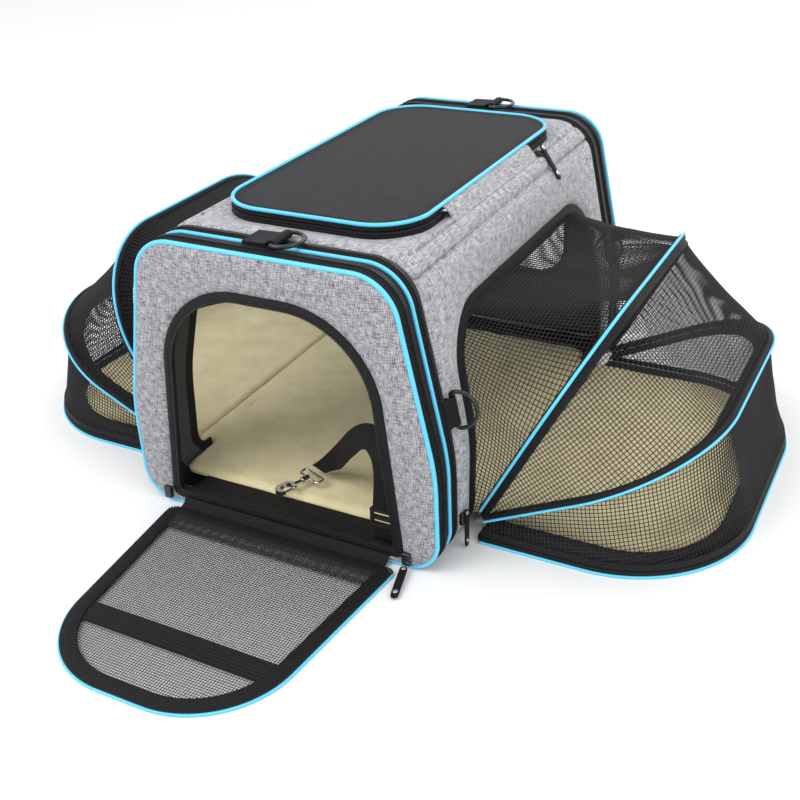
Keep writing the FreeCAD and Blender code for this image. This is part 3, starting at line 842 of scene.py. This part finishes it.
roof = ringSheet(
    "roof_cloth", [Vector((runAtSide(p.x), p.y)) for p in lidOutline(9.0)],
    rectangle(roofLow, roofHigh, body["bodyFront"], body["bodyRear"]),
    (bodyRuns[-1] / 2, 9.0), onRoofCloth, padLift(panels["topCrown"]), 4.6, "sideFabric", "carrier",
    count=420, rings=26, second="lining",
)
retire(roof, "top_panel")


def archOutline(inset, bottom):
    corner = 85.0 - inset
    return fourSided(118.0 - inset, 98.0 - inset, bottom, 224.0 - inset, [4.0, 4.0, corner, corner])


frontCloth = ringSheet(
    "front_cloth", archOutline(1.0, 9.0), insetBody(1.2), (0, 112.0),
    lambda x, z, w: Vector((x, body["front"] - w, z)), padLift(panels["endCrown"]), 4.4, "endFabric", "carrier",
    count=420, rings=12, second="lining",
)
retire(frontCloth, "front_panel")

frontEdge = sweptBand(
    "front_opening_edge", archOutline(4.8, 12.8), True,
    [(-4.2, 3.6), (-4.2, -0.2), (-3.0, -1.1), (0, -1.4), (3.0, -1.1), (4.2, -0.2), (4.2, 3.6)],
    lambda x, z, w: Vector((x, body["front"] + w, z)), "blackTape", "carrier",
)
retire(frontEdge, "front_opening_binding")
teeth("front_opening_teeth", archOutline(8.2, 16.2), True, 2.3, (1.3, 2.2, 0.8),
      lambda x, z, w: Vector((x, body["front"] - w, z)), 0.0, 0.5, "carrier")


def windowOutline(inset):
    wide = 90.0 - inset
    return fourSided(wide, wide, 65.0 + inset, 195.0 - inset, [40.0 - inset] * 4)


def onRear(x, z, w):
    return Vector((-x, body["seams"][2] + body["piping"] + w, z))


rearCloth = ringSheet(
    "rear_cloth", windowOutline(1.0), insetBody(1.2), (0, 128.0), onRear, padLift(panels["rearCrown"]), 4.4,
    "endFabric", "carrier", count=420, rings=12, second="lining",
)
retire(rearCloth, "rear_panel")
sweptBand(
    "rear_window_edge", windowOutline(3.0), True,
    [(-5.0, -3.0), (5.0, -3.0), (5.0, 2.4), (3.0, 3.8), (-3.0, 3.8), (-5.0, 2.0)],
    onRear, "blackTape", "carrier",
)
rearNet, rearArea = flatNet(
    "rear_window_net", windowOutline(3.0), 2.6, (0.8, 0.9), lambda x, z, w: onRear(x, z, w - 0.4), "carrier"
)
retire(rearNet, "rear_window_mesh")
cutSize(windowOutline(3.0))
print("panels made")

# Zip bands round the two ends, with their coils


def acrossBody(x, z, y):
    return Vector((x, y, z))


zipBand = {"foot": -4.4, "lift": 0.9, "coilRise": 1.3, "coilSpread": 2.6, "groove": 0.7, "grooveAt": 4.6}


def endBand(name, low, high, coils, node):
    # a tape from y low to y high, grooved beside each coil
    section = [(zipBand["foot"], low), (zipBand["foot"], high)]
    samples = 36
    for k in range(samples + 1):
        y = high + (low - high) * k / samples
        edge = min(y - low, high - y)
        rise = zipBand["lift"] * (1 - math.exp(-edge / 1.2))
        for coil in coils:
            rise += zipBand["coilRise"] * math.exp(-((y - coil) / zipBand["coilSpread"]) ** 2)
            rise -= zipBand["groove"] * math.exp(-((abs(y - coil) - zipBand["grooveAt"]) / 0.7) ** 2)
        section.append((rise, y))
    retire(sweptBand(name, bodyLoop, True, section[::-1], acrossBody, "zipTape", "carrier"), node)
    for number, coil in enumerate(coils, start=1):
        teeth(f"{name}_coil_{number}", bodyLoop, True, 1.9, (1.15, 0.9, 4.6), acrossBody, 2.4, coil - 2.3, "carrier")


endBand("front_zip_tape", -227.9, -209.1, [-218.5], "front_zip_band")
endBand("front_edge_tape", -204.9, -191.8, [-198.2], "front_edge_band")
endBand("rear_zip_tape", 195.8, 227.9, [203.5, 219.0], "rear_zip_band")

for number, y in enumerate(body["seams"], start=1):
    piping = sweptBand(f"body_piping_{number}", bodyLoop, True, roundSection(1.85, 0.3, y), acrossBody, "bluePiping",
                       "carrier")
    if number == 1:
        retire(piping, "body_pipings")
print("bands made")

# Front door


door = {
    "hinge": -233.0, "level": 3.0, "pitch": 2.4, "yarn": (0.5, 0.85), "foldPitch": 1.9, "foldYarn": (0.8, 0.9),
    "bandLow": 143.5, "bandHigh": 164.5, "bandRib": 0.28, "bandReach": 93,
}


def onDoor(x, h, w):
    return Vector((x, door["hinge"] - h, door["level"] + w))


doorFrame = sweptBand(
    "door_edge", archOutline(11.0, 15.0), True,
    [(-6.4, -1.2), (6.2, -1.8), (6.8, 0.0), (6.0, 1.5), (2.0, 1.9), (-2.0, 1.8), (-6.4, 1.0)],
    onDoor, "blackTape", "front_door",
)
retire(doorFrame, "door_binding")
teeth("door_teeth", archOutline(5.4, 9.4), True, 2.3, (1.3, 2.4, 1.6), onDoor, 0.6, -0.8, "front_door")
netLoop = archOutline(13.5, 19.0)
doorNet, doorArea = flatNet("door_net", netLoop, door["pitch"], door["yarn"], onDoor, "front_door")
retire(doorNet, "door_mesh")
cutSize(netLoop)
foldNet, foldArea = flatNet(
    "door_fold_net", rectangle(-100.0, 100.0, 20.0, 38.0), door["foldPitch"], door["foldYarn"],
    lambda x, h, w: onDoor(x, h, w + 0.9), "front_door",
)


def doorBand():
    low, high = door["bandLow"], door["bandHigh"]
    section = [(low, 2.0), (high, 2.0), (high, 3.0)]
    for k in range(29):
        h = high + (low - high) * k / 28
        section.append((h, 3.15 + door["bandRib"] * math.sin(k * math.pi / 2)))
    section.append((low, 3.0))
    spots = range(-door["bandReach"], door["bandReach"] + 1, 3)
    points, uvs = [], []
    for x in spots:
        for k, (h, z) in enumerate(section):
            points.append((x, door["hinge"] - h, z + 0.35 * math.cos(x / door["bandReach"] * math.pi / 2)))
            uvs.append((x * mm, k * 0.75 * mm))
    faces = tubeFaces(len(spots), len(section), flip=True)
    retire(makePiece("door_elastic", points, faces, "blackTape", "front_door", uvs=uvs), "door_strap")


doorBand()
doorPipe = [p for p in archOutline(3.2, 7.0) if p.y > 14]
turnAt = next(i for i in range(len(doorPipe)) if (doorPipe[i] - doorPipe[i - 1]).length > 20)
doorPipe = doorPipe[turnAt:] + doorPipe[:turnAt]
sweptBand("door_piping", doorPipe, False, roundSection(1.2, -0.4, -1.6), onDoor, "bluePiping", "front_door")


def strip(name, halfWidth, profile, thick, carrier=None, steps=40):
    # a cloth strip across the bag from a profile of (y, z) points, thickened to both sides
    ring = twoPlies(resampled([Vector(p) for p in profile], False, 1.5), thick / 2)
    points, uvs = [], []
    for row in range(steps + 1):
        x = halfWidth * (2 * row / steps - 1)
        for k, spot in enumerate(ring):
            points.append((x, spot.x, spot.y))
            uvs.append((x * mm, min(k, len(ring) - 1 - k) * 1.5 * mm))
    return makePiece(name, points, tubeFaces(steps + 1, len(ring), flip=True), "blackTape", carrier, uvs=uvs)


threshold = strip("threshold_flap", 104.0, [
    (-190.0, 10.9), (-206.0, 11.3), (-217.0, 11.0), (-224.0, 14.6), (-227.5, 15.0), (-231.0, 12.0), (-235.5, 5.4),
    (-241.0, 3.4), (-248.0, 3.2),
], 1.0)
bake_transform(threshold)
print("door made")

# Lid


lidRim = sweptBand(
    "lid_rim", lidOutline(5.5), True,
    [(-6.3, 261.2), (-5.6, 258.4), (4.6, 258.3), (5.5, 259.0), (5.1, 259.8), (5.5, 260.7), (5.1, 261.5), (5.4, 262.4),
     (3.6, 263.8), (-3.0, 264.2), (-6.3, 263.6)],
    asGiven, "blackTape", "lid",
)
retire(lidRim, "lid_binding")
sweptBand("lid_piping", lidOutline(0.6), True, roundSection(1.7, 0.0, 263.9), asGiven, "bluePiping", "lid")
lidCloth = ringSheet(
    "lid_net", fourSided(2, 2, -2, 2, [1, 1, 1, 1], step=0.7), [p - Vector((0, 9)) for p in lidOutline(8.0)], (0, 0),
    lambda x, y, w: Vector((x, y + 9.0, 262.0 + w)),
    lambda share, width: 1.9 + 1.6 * (1 - share * share), 1.0, "lidNet", "lid", count=240, rings=30, capped=True,
)
retire(lidCloth, "lid_mesh")

stripLoop = lidOutline(2.0)
inHinge = [p.x > 84 and -92 < p.y < 87 for p in stripLoop]
cut = next(i for i in range(len(stripLoop)) if not inHinge[i] and inHinge[i - 1])
turnedOrder = [(cut + k) % len(stripLoop) for k in range(len(stripLoop))]
stripLine = [stripLoop[index] for index in turnedOrder if not inHinge[index]]


def onRoof(x, y, w):
    # small heights are above the roof cloth, large ones above the ground
    return Vector((x, y, roofHeight(x) - roofSag(x, y) + w)) if w < 100 else Vector((x, y, w))


zipStrip = sweptBand(
    "lid_zip_tape", stripLine, False,
    [(-6.0, -1.0), (7.0, -0.4), (7.0, 1.8), (4.4, 2.8), (3.6, 4.0), (3.2, 254.6), (2.4, 255.2), (3.0, 256.0),
     (2.2, 257.4), (2.6, 258.0), (-6.0, 258.0)],
    onRoof, "zipTape", "carrier",
)
retire(zipStrip, "lid_zip_strip")
teeth("lid_teeth", stripLine, False, 2.2, (1.2, 1.6, 1.6), asGiven, 2.6, 256.6, "carrier")


hinge = {"out": 104.0, "low": -92.0, "length": 179.0, "half": 0.9, "step": 1.2, "ease": 0.2}


def hingeCloth():
    profile = [(hinge["out"], roofHeight(hinge["out"]) - roofSag(hinge["out"], 0.0) + 3.0), (101.0, 253.0),
               (98.2, 257.0), (95.2, 260.4), (92.4, 261.9), (89.0, 261.2)]
    ring = twoPlies(resampled([Vector(p) for p in profile], False, hinge["step"]), hinge["half"])
    wide, steps = len(ring), 60
    points, uvs = [], []
    for row in range(steps + 1):
        y = hinge["low"] + hinge["length"] * row / steps
        ease = hinge["ease"] * math.sin(row * 1.7)
        for k, spot in enumerate(ring):
            points.append((spot.x + ease * 0.3, y, spot.y + ease * 0.2))
            uvs.append((min(k, wide - 1 - k) * hinge["step"] * mm, y * mm))
    flap = makePiece("lid_hinge_cloth", points, tubeFaces(steps + 1, wide), "sideFabric", None, uvs=uvs)
    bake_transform(flap)
    retire(flap, "lid_hinge")


hingeCloth()
print("lid made")

# Fans

fan = {
    "axisX": 153.0, "axisZ": 18.0, "pitch": 3.5, "yarn": (0.72, 1.15), "tape": 17.0, "sag": 0.03,
    "sleeve": 3.3, "underTape": 8.0, "lowTape": 6.0,
    # the plane midway between the two rims of each net, in degrees above the floor, and a half width about it in mm
    "upperFold": (79.0, 44.0), "middleFold": (44.0, 46.0), "lowerFold": (12.0, 34.0),
    # half width, reach and corner radius, with the hoops' angle above the floor
    "hoop1": (164.0, 198.0, 100.0, 62.0), "hoop2": (170.0, 204.0, 106.0, 26.0), "floor": (176.0, 210.0, 112.0),
}


def archShare(halfWidth, reach, radius, share, start=0.0):
    # a point (out, y) a share of the way round a U-shaped line: leg, bend, end, bend, leg
    mirrorSign = -1 if share <= 0.5 else 1
    local = min(share, 1 - share)
    if local < 0.2:
        out, wide = start + (reach - radius - start) * local / 0.2, halfWidth
    elif local < 0.36:
        turn = (local - 0.2) / 0.16 * math.pi / 2
        out = reach - radius + radius * math.sin(turn)
        wide = halfWidth - radius + radius * math.cos(turn)
    else:
        out, wide = reach, (halfWidth - radius) * (0.5 - local) / 0.14
    return out, mirrorSign * wide


def tilted(out, y, angle, lift=0.0):
    a = math.radians(angle)
    return Vector((
        fan["axisX"] + out * math.cos(a) - lift * math.sin(a), y, fan["axisZ"] + out * math.sin(a) + lift * math.cos(a)
    ))


def hoopRim(number, lift=0.0, grow=0.0):
    halfWidth, reach, radius, angle = fan[f"hoop{number}"]
    return lambda share: tilted(*archShare(halfWidth + grow, reach + grow, radius + grow, share, 10.0), angle, lift)


def wallRim(share):
    high, y = archShare(152.0, 193.0, 49.0, share, 22.0)
    y *= (166.0 - 14.0 * (high - 6.0) / 187.0) / 152.0
    return onBody(runAtHeight(high), y, -2.0)


def floorRim(share):
    halfWidth, reach, radius = fan["floor"]
    out, y = archShare(halfWidth - 1, reach - 1, radius - 1, share, 8.0)
    return Vector((fan["axisX"] + out, y, 7.0))


def foldBetween(piece, bodies, centreAngle, halfGap, mirror):
    # works out the ends of a band across the plane midway between two hoops, then bakes the piece's transform into its
    # mesh
    a = math.radians(centreAngle)
    sign = -1 if mirror else 1
    ends = []
    for gap in (halfGap, -halfGap):
        ends.append((sign * (fan["axisX"] - math.sin(a) * gap) * mm, 0, (fan["axisZ"] + math.cos(a) * gap) * mm))
    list(bodies)
    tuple(ends[0])
    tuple(ends[1])
    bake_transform(piece)


def fanNet(name, lower, upper, bodies, centreAngle, halfGap, mirror):
    # cells of one size on the ruled surface between two rims
    samples = 800
    middle, halves, lows, highs = [], [], [], []
    for k in range(samples + 1):
        low, high = lower(k / samples), upper(k / samples)
        lows.append(low)
        highs.append(high)
        middle.append((low + high) / 2)
        halves.append((high - low).length / 2)
    runs = [0.0]
    for first, second in zip(middle, middle[1:]):
        runs.append(runs[-1] + (second - first).length)
    columns = round(runs[-1] / fan["pitch"])
    spots = []
    for i in range(columns + 1):
        target = runs[-1] * i / columns
        k = min(bisect.bisect_right(runs, target) - 1, samples - 1)
        share = (target - runs[k]) / max(runs[k + 1] - runs[k], 1e-9)
        spots.append((lows[k].lerp(lows[k + 1], share), highs[k].lerp(highs[k + 1], share)))
    rows = math.ceil(max(halves) / fan["pitch"])
    axis = Vector((fan["axisX"], 0, fan["axisZ"]))
    points, faces, keep = [], [], {}

    def vertex(i, j):
        low, high = spots[i]
        half = (high - low).length / 2
        g = max(-half, min(half, j * fan["pitch"]))
        key = (i, j if abs(j * fan["pitch"]) < half else math.copysign(1e6, j))
        if key not in keep:
            share = 0.5 + g / (2 * half)
            point = low.lerp(high, share)
            inwards = Vector((axis.x - point.x, -point.y * 0.6, axis.z - point.z))
            if inwards.length > 1e-6:
                inwards.normalize()
            slack = fan["sag"] * 2 * half * (1 - (g / half) ** 2)
            ripple = noise.noise(point * 0.03) * 1.2 * (1 - (g / half) ** 2)
            keep[key] = len(points)
            points.append(point + inwards * (slack + ripple))
        return keep[key]

    for i in range(columns):
        half = max((spots[i][0] - spots[i][1]).length, (spots[i + 1][0] - spots[i + 1][1]).length) / 2
        for j in range(-rows, rows):
            if min(abs(j), abs(j + 1)) * fan["pitch"] < half:
                corners = [vertex(i, j), vertex(i + 1, j), vertex(i + 1, j + 1), vertex(i, j + 1)]
                unique = list(dict.fromkeys(corners))
                if len(unique) >= 3:
                    faces.append(tuple(unique))
    net, area = netFromQuads(name, points, faces, fan["yarn"], None, mirror)
    foldBetween(net, bodies, centreAngle, halfGap, mirror)
    width, length = 2 * max(halves) * mm, runs[-1] * mm
    round(min(area, width * length), 4)
    print(name, "cells", len(faces), "area", round(area, 4))
    return net


def rimBand(name, rim, towards, width, carrier, mirror):
    # ribbed tape sewn along a rim, reaching towards another line
    samples = 220
    points, uvs = [], []
    run = 0.0
    last = None
    shares = (0.0, 0.06, 0.2, 0.35, 0.5, 0.65, 0.8, 0.94, 1.0)
    for k in range(samples + 1):
        start, end = rim(k / samples), towards(k / samples)
        step = end - start
        reach = min(width, step.length)
        across = step.normalized()
        ahead = rim(min(k + 1, samples) / samples) - rim(max(k - 1, 0) / samples)
        normal = ahead.normalized().cross(across).normalized()
        if last is not None:
            run += (start - last).length
        last = start
        for face, order in ((1, shares), (-1, shares[::-1])):
            for share in order:
                puff = 0.9 if 0 < share < 1 else 0.4
                points.append(start + across * reach * share + normal * (face * puff))
                uvs.append((run * mm, reach * share * mm))
    return makePiece(name, points, tubeFaces(samples + 1, 2 * len(shares)), "blackTape", carrier, mirror, uvs)


def rimTube(name, rim, radius, finish, carrier, mirror):
    # a round cord or sleeve along a rim
    samples, sides = 200, 12
    points, uvs = [], []
    run = 0.0
    spots = [rim(k / samples) for k in range(samples + 1)]
    up = None
    for k, spot in enumerate(spots):
        along = (spots[min(k + 1, samples)] - spots[max(k - 1, 0)]).normalized()
        up = Vector((0, 0, 1)).cross(along) if up is None else up - along * up.dot(along)
        up.normalize()
        other = along.cross(up)
        if k:
            run += (spot - spots[k - 1]).length
        for m in range(sides):
            turn = 2 * math.pi * m / sides
            points.append(spot + (up * math.cos(turn) + other * math.sin(turn)) * radius)
            uvs.append((run * mm, radius * turn * mm))
    return makePiece(name, points, tubeFaces(samples + 1, sides), finish, carrier, mirror, uvs)


fleece = {"shoulder": 6.5, "base": 0.42, "roll": 0.46, "crown": 0.12, "crownReach": 30.0, "flat": 60.0}


def fleecePad(name, loop, centre, bottom, thick, carrier, mirror, node):
    # a rounded pad: full height over most of it, rolled over at the edge
    def lift(share, width):
        edge = min((1 - share) * width, fleece["flat"])
        roll = math.sqrt(max(0.0, 1 - (1 - min(edge / fleece["shoulder"], 1.0)) ** 2))
        swell = fleece["crown"] * thick * (1 - math.exp(-edge / fleece["crownReach"]))
        return thick * (fleece["base"] + fleece["roll"] * roll) + swell

    def place(x, y, w):
        if w > 0:
            w += 0.9 * noise.noise(Vector((x, y, 3.0)) * 0.018) + 0.35 * noise.noise(Vector((x, y, 9.0)) * 0.06)
        return Vector((x, y, bottom + w))

    seed = [Vector(centre) + Vector((math.cos(a), math.sin(a))) for a in [k * math.pi / 8 for k in range(16)]]
    pad = ringSheet(name, seed, loop, centre, place, lift, 0.0, "tanFleece", carrier, count=300, rings=44,
                    mirror=mirror, capped=True)
    retire(pad, node)


def fanPlate(start, wide, reach, radius):
    low, high = fan["axisX"] + start, fan["axisX"] + reach
    return outline([(low, -wide), (high, -wide), (high, wide), (low, wide)], [4.0, radius, radius, 4.0])


floorLoop = fanPlate(4.0, *fan["floor"])
wingLoop = fanPlate(0.5, 147.0, 186.0, 80.0)

for side in ("right", "left"):
    mirror = side == "left"
    hoopA, hoopB, floorBody = f"{side}_hoop_a", f"{side}_hoop_b", f"{side}_fan_floor"
    first, second = hoopRim(1), hoopRim(2)
    netRows = (
        ("upper", first, wallRim, ("carrier", hoopA)), ("middle", second, first, (hoopA, hoopB)),
        ("lower", floorRim, second, (hoopB, floorBody)),
    )
    for number, (title, lower, upper, bodies) in enumerate(netRows, start=1):
        net = fanNet(f"{side}_{title}_net", lower, upper, bodies, *fan[f"{title}Fold"], mirror)
        retire(net, f"{side}_net_{number}")
    for number, carrier, tapeLift, pipe in ((1, hoopA, 1.4, (0.6, 3.9, 1.35)), (2, hoopB, -4.2, (-1.4, 3.6, 1.1))):
        stem = f"{side}_hoop_{number}"
        inner = hoopRim(number, tapeLift, -fan["tape"])
        rimTube(f"{stem}_sleeve", hoopRim(number), fan["sleeve"], "blackTape", carrier, mirror)
        rimBand(f"{stem}_tape", hoopRim(number, tapeLift), inner, fan["tape"], carrier, mirror)
        if number == 1:
            under = rimBand(f"{stem}_under_tape", first, second, fan["underTape"], None, mirror)
            foldBetween(under, (hoopA, hoopB), *fan["middleFold"], mirror)
        rimTube(f"{stem}_piping", hoopRim(number, pipe[0], pipe[1]), pipe[2], "bluePiping", carrier, mirror)
    edge = sweptBand(
        f"{side}_floor_edge", floorLoop, True,
        [(-14.2, 0.6), (-1.5, 0.6), (0.0, 1.6), (0.4, 3.6), (0.0, 5.6), (-1.5, 6.6), (-7.0, 7.0), (-14.2, 6.2)],
        asGiven, "blackTape", floorBody, mirror,
    )
    retire(edge, f"{side}_floor_binding")
    lowTape = rimBand(f"{side}_floor_tape", floorRim, second, fan["lowTape"], None, mirror)
    foldBetween(lowTape, (hoopB, floorBody), *fan["lowerFold"], mirror)
    pipeLine = outline([(160.0, -177.0), (364.0, -177.0), (364.0, 177.0), (160.0, 177.0)], [0, 113.0, 113.0, 0],
                       closed=False, step=4.0)
    sweptBand(f"{side}_floor_piping", pipeLine, False, roundSection(1.2, -0.6, 1.4), asGiven, "bluePiping", floorBody,
              mirror)
    fleecePad(f"{side}_wing_fleece", wingLoop, (240.0, 0.0), 7.0, 10.0, floorBody, mirror, f"{side}_mat_wing")
print("fans made")

# Floor mat

matLoop = outline(
    [(-131, -198), (131, -198), (131, -150), (151.6, -147), (151.6, 147), (131, 150), (131, 173), (-131, 173),
     (-131, 150), (-151.6, 147), (-151.6, -147), (-131, -150)],
    [10, 10, 4, 3, 3, 4, 10, 10, 4, 3, 3, 4], step=3.0,
)
fleecePad("centre_fleece", matLoop, (0.0, -20.0), 10.3, 7.4, "carrier", False, "center_mat")
print("mats made")

# Webbing tabs for the D-rings

tabs = {
    "width": 25.0, "thick": 1.3, "bar": 2.05, "rise": 3.75, "topLength": 28.0, "sideLength": 14.0, "ringY": 186,
    "ringZ": 131,
}
leanRise = body["height"] - body["lean"]
leanAngle = math.atan((body["halfBase"] - body["halfTop"]) / leanRise)
outLean = Vector((math.cos(leanAngle), 0, math.sin(leanAngle)))
upLean = outLean.cross(Vector((0, 1, 0)))
xAxis, yAxis, zAxis = Vector((1, 0, 0)), Vector((0, 1, 0)), Vector((0, 0, 1))
sideRingX = 147.0 - 35.0 * 33.0 / 160.0
tabPlaces = {
    "front_top_tab": (Vector((6, -203, 258.25)), xAxis, yAxis, zAxis, tabs["topLength"], False),
    "rear_top_tab": (Vector((6, 216.25, 258.25)), xAxis, yAxis, zAxis, tabs["topLength"], False),
}
for side in ("right", "left"):
    for end, sign in (("front", 1), ("rear", -1)):
        place = Vector((sideRingX, -sign * tabs["ringY"], tabs["ringZ"]))
        tabPlaces[f"{side}_{end}_tab"] = (
            place, yAxis * sign, upLean * sign, outLean, tabs["sideLength"], side == "left"
        )


def ringTab(name, place, u, v, w, length, mirror):
    # webbing folded round the ring's bar, its two plies sewn down behind
    height = tabs["rise"]
    radius = tabs["bar"] + tabs["thick"] / 2 + 0.05
    line = [Vector((-length, 0.9)), Vector((-length * 0.6, 0.8)), Vector((-2.5, 0.9))]
    line += [
        Vector((radius * math.sin(a), height - radius * math.cos(a))) for a in [k * math.pi / 10 for k in range(1, 11)]
    ]
    line += [Vector((-3.0, height + radius - 0.6)), Vector((-7.0, 3.1)), Vector((-length, 2.4))]
    ring = twoPlies(line, tabs["thick"] / 2)
    wide, steps = len(ring), 10
    points, uvs = [], []
    for row in range(steps + 1):
        across = tabs["width"] * (row / steps - 0.5)
        for k, spot in enumerate(ring):
            points.append(place + u * spot.x + v * across + w * spot.y)
            uvs.append((min(k, wide - 1 - k) * 2.0 * mm, across * mm))
    return makePiece(name, points, tubeFaces(steps + 1, wide, flip=True), "blackTape", "carrier", mirror, uvs)


for index, (name, values) in enumerate(tabPlaces.items()):
    piece = ringTab(name, *values)
    if index == 0:
        retire(piece, "ring_tabs")

# Pulls: a webbing strap with a rivet at each end

pull = {"width": 6.6, "thick": 1.7, "length": 34.0, "back": 3.3, "corner": 3.2, "rivetGap": 6.8, "sides": 16}
rivetRings = ((2.3, 0.0), (2.2, 0.5), (1.5, 0.85), (0.55, 0.95), (0.4, 0.6))


def pullPiece(name, eye, along, face, node):
    across = face.cross(along).normalized()
    thick, length, sides = pull["thick"], pull["length"], pull["sides"]
    wide = pull["width"] / 2
    loop = outline([(-pull["back"], -wide), (length, -wide), (length, wide), (-pull["back"], wide)],
                   [pull["corner"]] * 4, step=1.0)

    def place(a, b, w):
        return eye + along * a + across * b + face * w

    centre = Vector((length / 2 - 1.6, 0))
    seed = [centre + Vector((math.cos(t), math.sin(t))) * 0.3 for t in [k * math.pi / 6 for k in range(12)]]
    strap = ringSheet(
        name, seed, loop, centre, place, lambda share, wide: thick / 2 * (1 - 0.55 * share ** 6), thick / 2,
        "blackTape", node, count=64, rings=8, capped=True,
    )
    retire(strap, node)
    half = len(rivetRings) * sides
    for number, spot in enumerate((0.0, length - pull["rivetGap"]), start=1):
        points, faces = [], []
        for sign in (1, -1):
            base = len(points)
            for radius, rise in rivetRings:
                for k in range(sides):
                    turn = 2 * math.pi * k / sides
                    points.append(place(spot + radius * math.cos(turn), sign * radius * math.sin(turn),
                                        sign * (thick / 2 - 0.1 + rise)))
            for ring in range(len(rivetRings) - 1):
                for k in range(sides):
                    following = (k + 1) % sides
                    a, b = base + ring * sides + k, base + ring * sides + following
                    faces.append((a, b, b + sides, a + sides))
            faces.append(tuple(base + (len(rivetRings) - 1) * sides + k for k in range(sides)))
        for k in range(sides):
            following = (k + 1) % sides
            faces.append((k, half + k, half + following, following))
        makePiece(f"{name}_rivet_{number}", points, faces, "nickel", node, source="solid")


def turned(vector, axis, degrees):
    return Matrix.Rotation(math.radians(degrees), 3, axis) @ vector


doorAlong = turned(turned(xAxis, "Y", 5.0), "Z", 13.0 - 90.0)
doorFace = turned(turned(zAxis, "Y", 5.0), "Z", 13.0 - 90.0)
pullPiece("door_zip_pull", Vector((121, -240.45, 6)), doorAlong, doorFace, "door_pull")
pullPiece("side_zip_pull", Vector((153.2, -186, 36)), -zAxis, xAxis, "side_pull")
slope = math.radians(60.0)
shoulderNormal = Vector((math.cos(slope), 0, math.sin(slope)))
shoulder = body["shoulderRadius"]
bend = shoulder * math.tan(math.radians(45) - leanAngle / 2)
lidPoint = Vector((body["halfTop"] - bend, 94, body["height"] - shoulder)) + shoulderNormal * (shoulder + 2.3)
lidEye = lidPoint + shoulderNormal * (4.4 + 1.8 + 0.9)
pullPiece("lid_zip_pull", lidEye, turned(xAxis, "Y", 57.0), turned(zAxis, "Y", 57.0), "lid_pull")
print("tabs and pulls made")

# Tether: webbing from the adjuster to the snap hook

tether = {
    "width": 22.0, "thick": 1.4,
    "route": [
        (0.095, -0.221, 0.0445), (0.096, -0.220, 0.061), (0.097, -0.219, 0.078), (0.092, -0.215, 0.096),
        (0.078, -0.205, 0.102), (0.061, -0.195, 0.093), (0.044, -0.186, 0.075), (0.028, -0.176, 0.055),
        (0.013, -0.168, 0.038), (-0.002, -0.167, 0.027),
    ],
}


def tetherLine():
    data = bpy.data.curves.new("tether_route", "CURVE")
    data.dimensions = "3D"
    data.resolution_u = 16
    spline = data.splines.new("NURBS")
    spline.points.add(len(tether["route"]) - 1)
    for point, place in zip(spline.points, tether["route"]):
        point.co = (*place, 1)
    spline.order_u = 3
    spline.use_endpoint_u = True
    line = bpy.data.objects.new("tether_route", data)
    scene.collection.objects.link(line)
    graph = bpy.context.evaluated_depsgraph_get()
    mesh = bpy.data.meshes.new_from_object(line.evaluated_get(graph))
    points = [vertex.co.copy() for vertex in mesh.vertices]
    bpy.data.objects.remove(line)
    bpy.data.meshes.remove(mesh)
    return points


def tetherWebbing():
    path = resampled(tetherLine(), False, 0.002)
    count = len(path)
    side = Vector((1, 0, 0))
    barSide = Vector((math.cos(math.radians(22.8)), -math.sin(math.radians(22.8)), 0))
    section = [(-1, 0.2), (-0.94, 1.0), (-0.5, 0.75), (0, 0.95), (0.5, 0.75), (0.94, 1.0), (1, 0.2), (1, -0.2),
               (0.94, -1.0), (0.5, -0.75), (0, -0.95), (-0.5, -0.75), (-0.94, -1.0), (-1, -0.2)]
    wide = len(section)
    points, uvs = [], []
    for k, spot in enumerate(path):
        along = (path[min(k + 1, count - 1)] - path[max(k - 1, 0)]).normalized()
        side = (side - along * side.dot(along)).normalized()
        share = k / (count - 1)
        twist = max(0.0, min(1.0, (share - 0.3) / 0.3))
        twist = twist * twist * (3 - 2 * twist) * math.radians(-28)
        across = Matrix.Rotation(twist, 3, along) @ side
        close = max(0.0, min(1.0, (share - 0.74) / 0.26))
        close = close * close * (3 - 2 * close)
        across = across.lerp(-barSide if across.dot(barSide) < 0 else barSide, close).normalized()
        normal = along.cross(across).normalized()
        half = tether["width"] / 2 * mm * (1 - 0.1 * close)
        for a, b in section:
            points.append((spot + across * a * half + normal * b * tether["thick"] / 2 * mm) / mm)
            uvs.append((k * 0.002, a * half))
    strap = makePiece("tether_webbing", points, tubeFaces(count, wide), "blackTape", "carrier", uvs=uvs)
    retire(strap, "tether_strap")
    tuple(tether["route"][0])
    [tuple(p) for p in path]


tetherWebbing()
anchor = strip(
    "tether_foot", tether["width"] / 2, [(-221.0, 13.5), (-221.2, 20.0), (-221.0, 29.5)], tether["thick"], "carrier",
    steps=8,
)
anchor.data.transform(Matrix.Translation((tether["route"][0][0], 0, 0)))
retire(anchor, "tether_anchor")
print("tether made")

# Finishes for the parts that keep their CAD shape

finishNodes = {
    "springWire": ["end_frame_wires", "right_hoop_1", "right_hoop_2", "left_hoop_1", "left_hoop_2"],
    "boardCloth": ["base_panel", "base_board", "right_floor_board", "left_floor_board"],
    "blackPlastic": ["tether_adjuster"],
    "nickel": ["tether_swivel", "hook_body", "hook_bolt"],
    "blackEnamel": ["front_top_ring", "rear_top_ring", "right_front_ring", "right_rear_ring", "left_front_ring",
                    "left_rear_ring", "door_right_slider", "door_left_slider", "side_slider", "lid_slider"],
}
for finish, names in finishNodes.items():
    for name in names:
        node = bpy.data.objects[name]
        node.data.materials.clear()
        node.data.materials.append(solid[finish])
print("finishes placed")
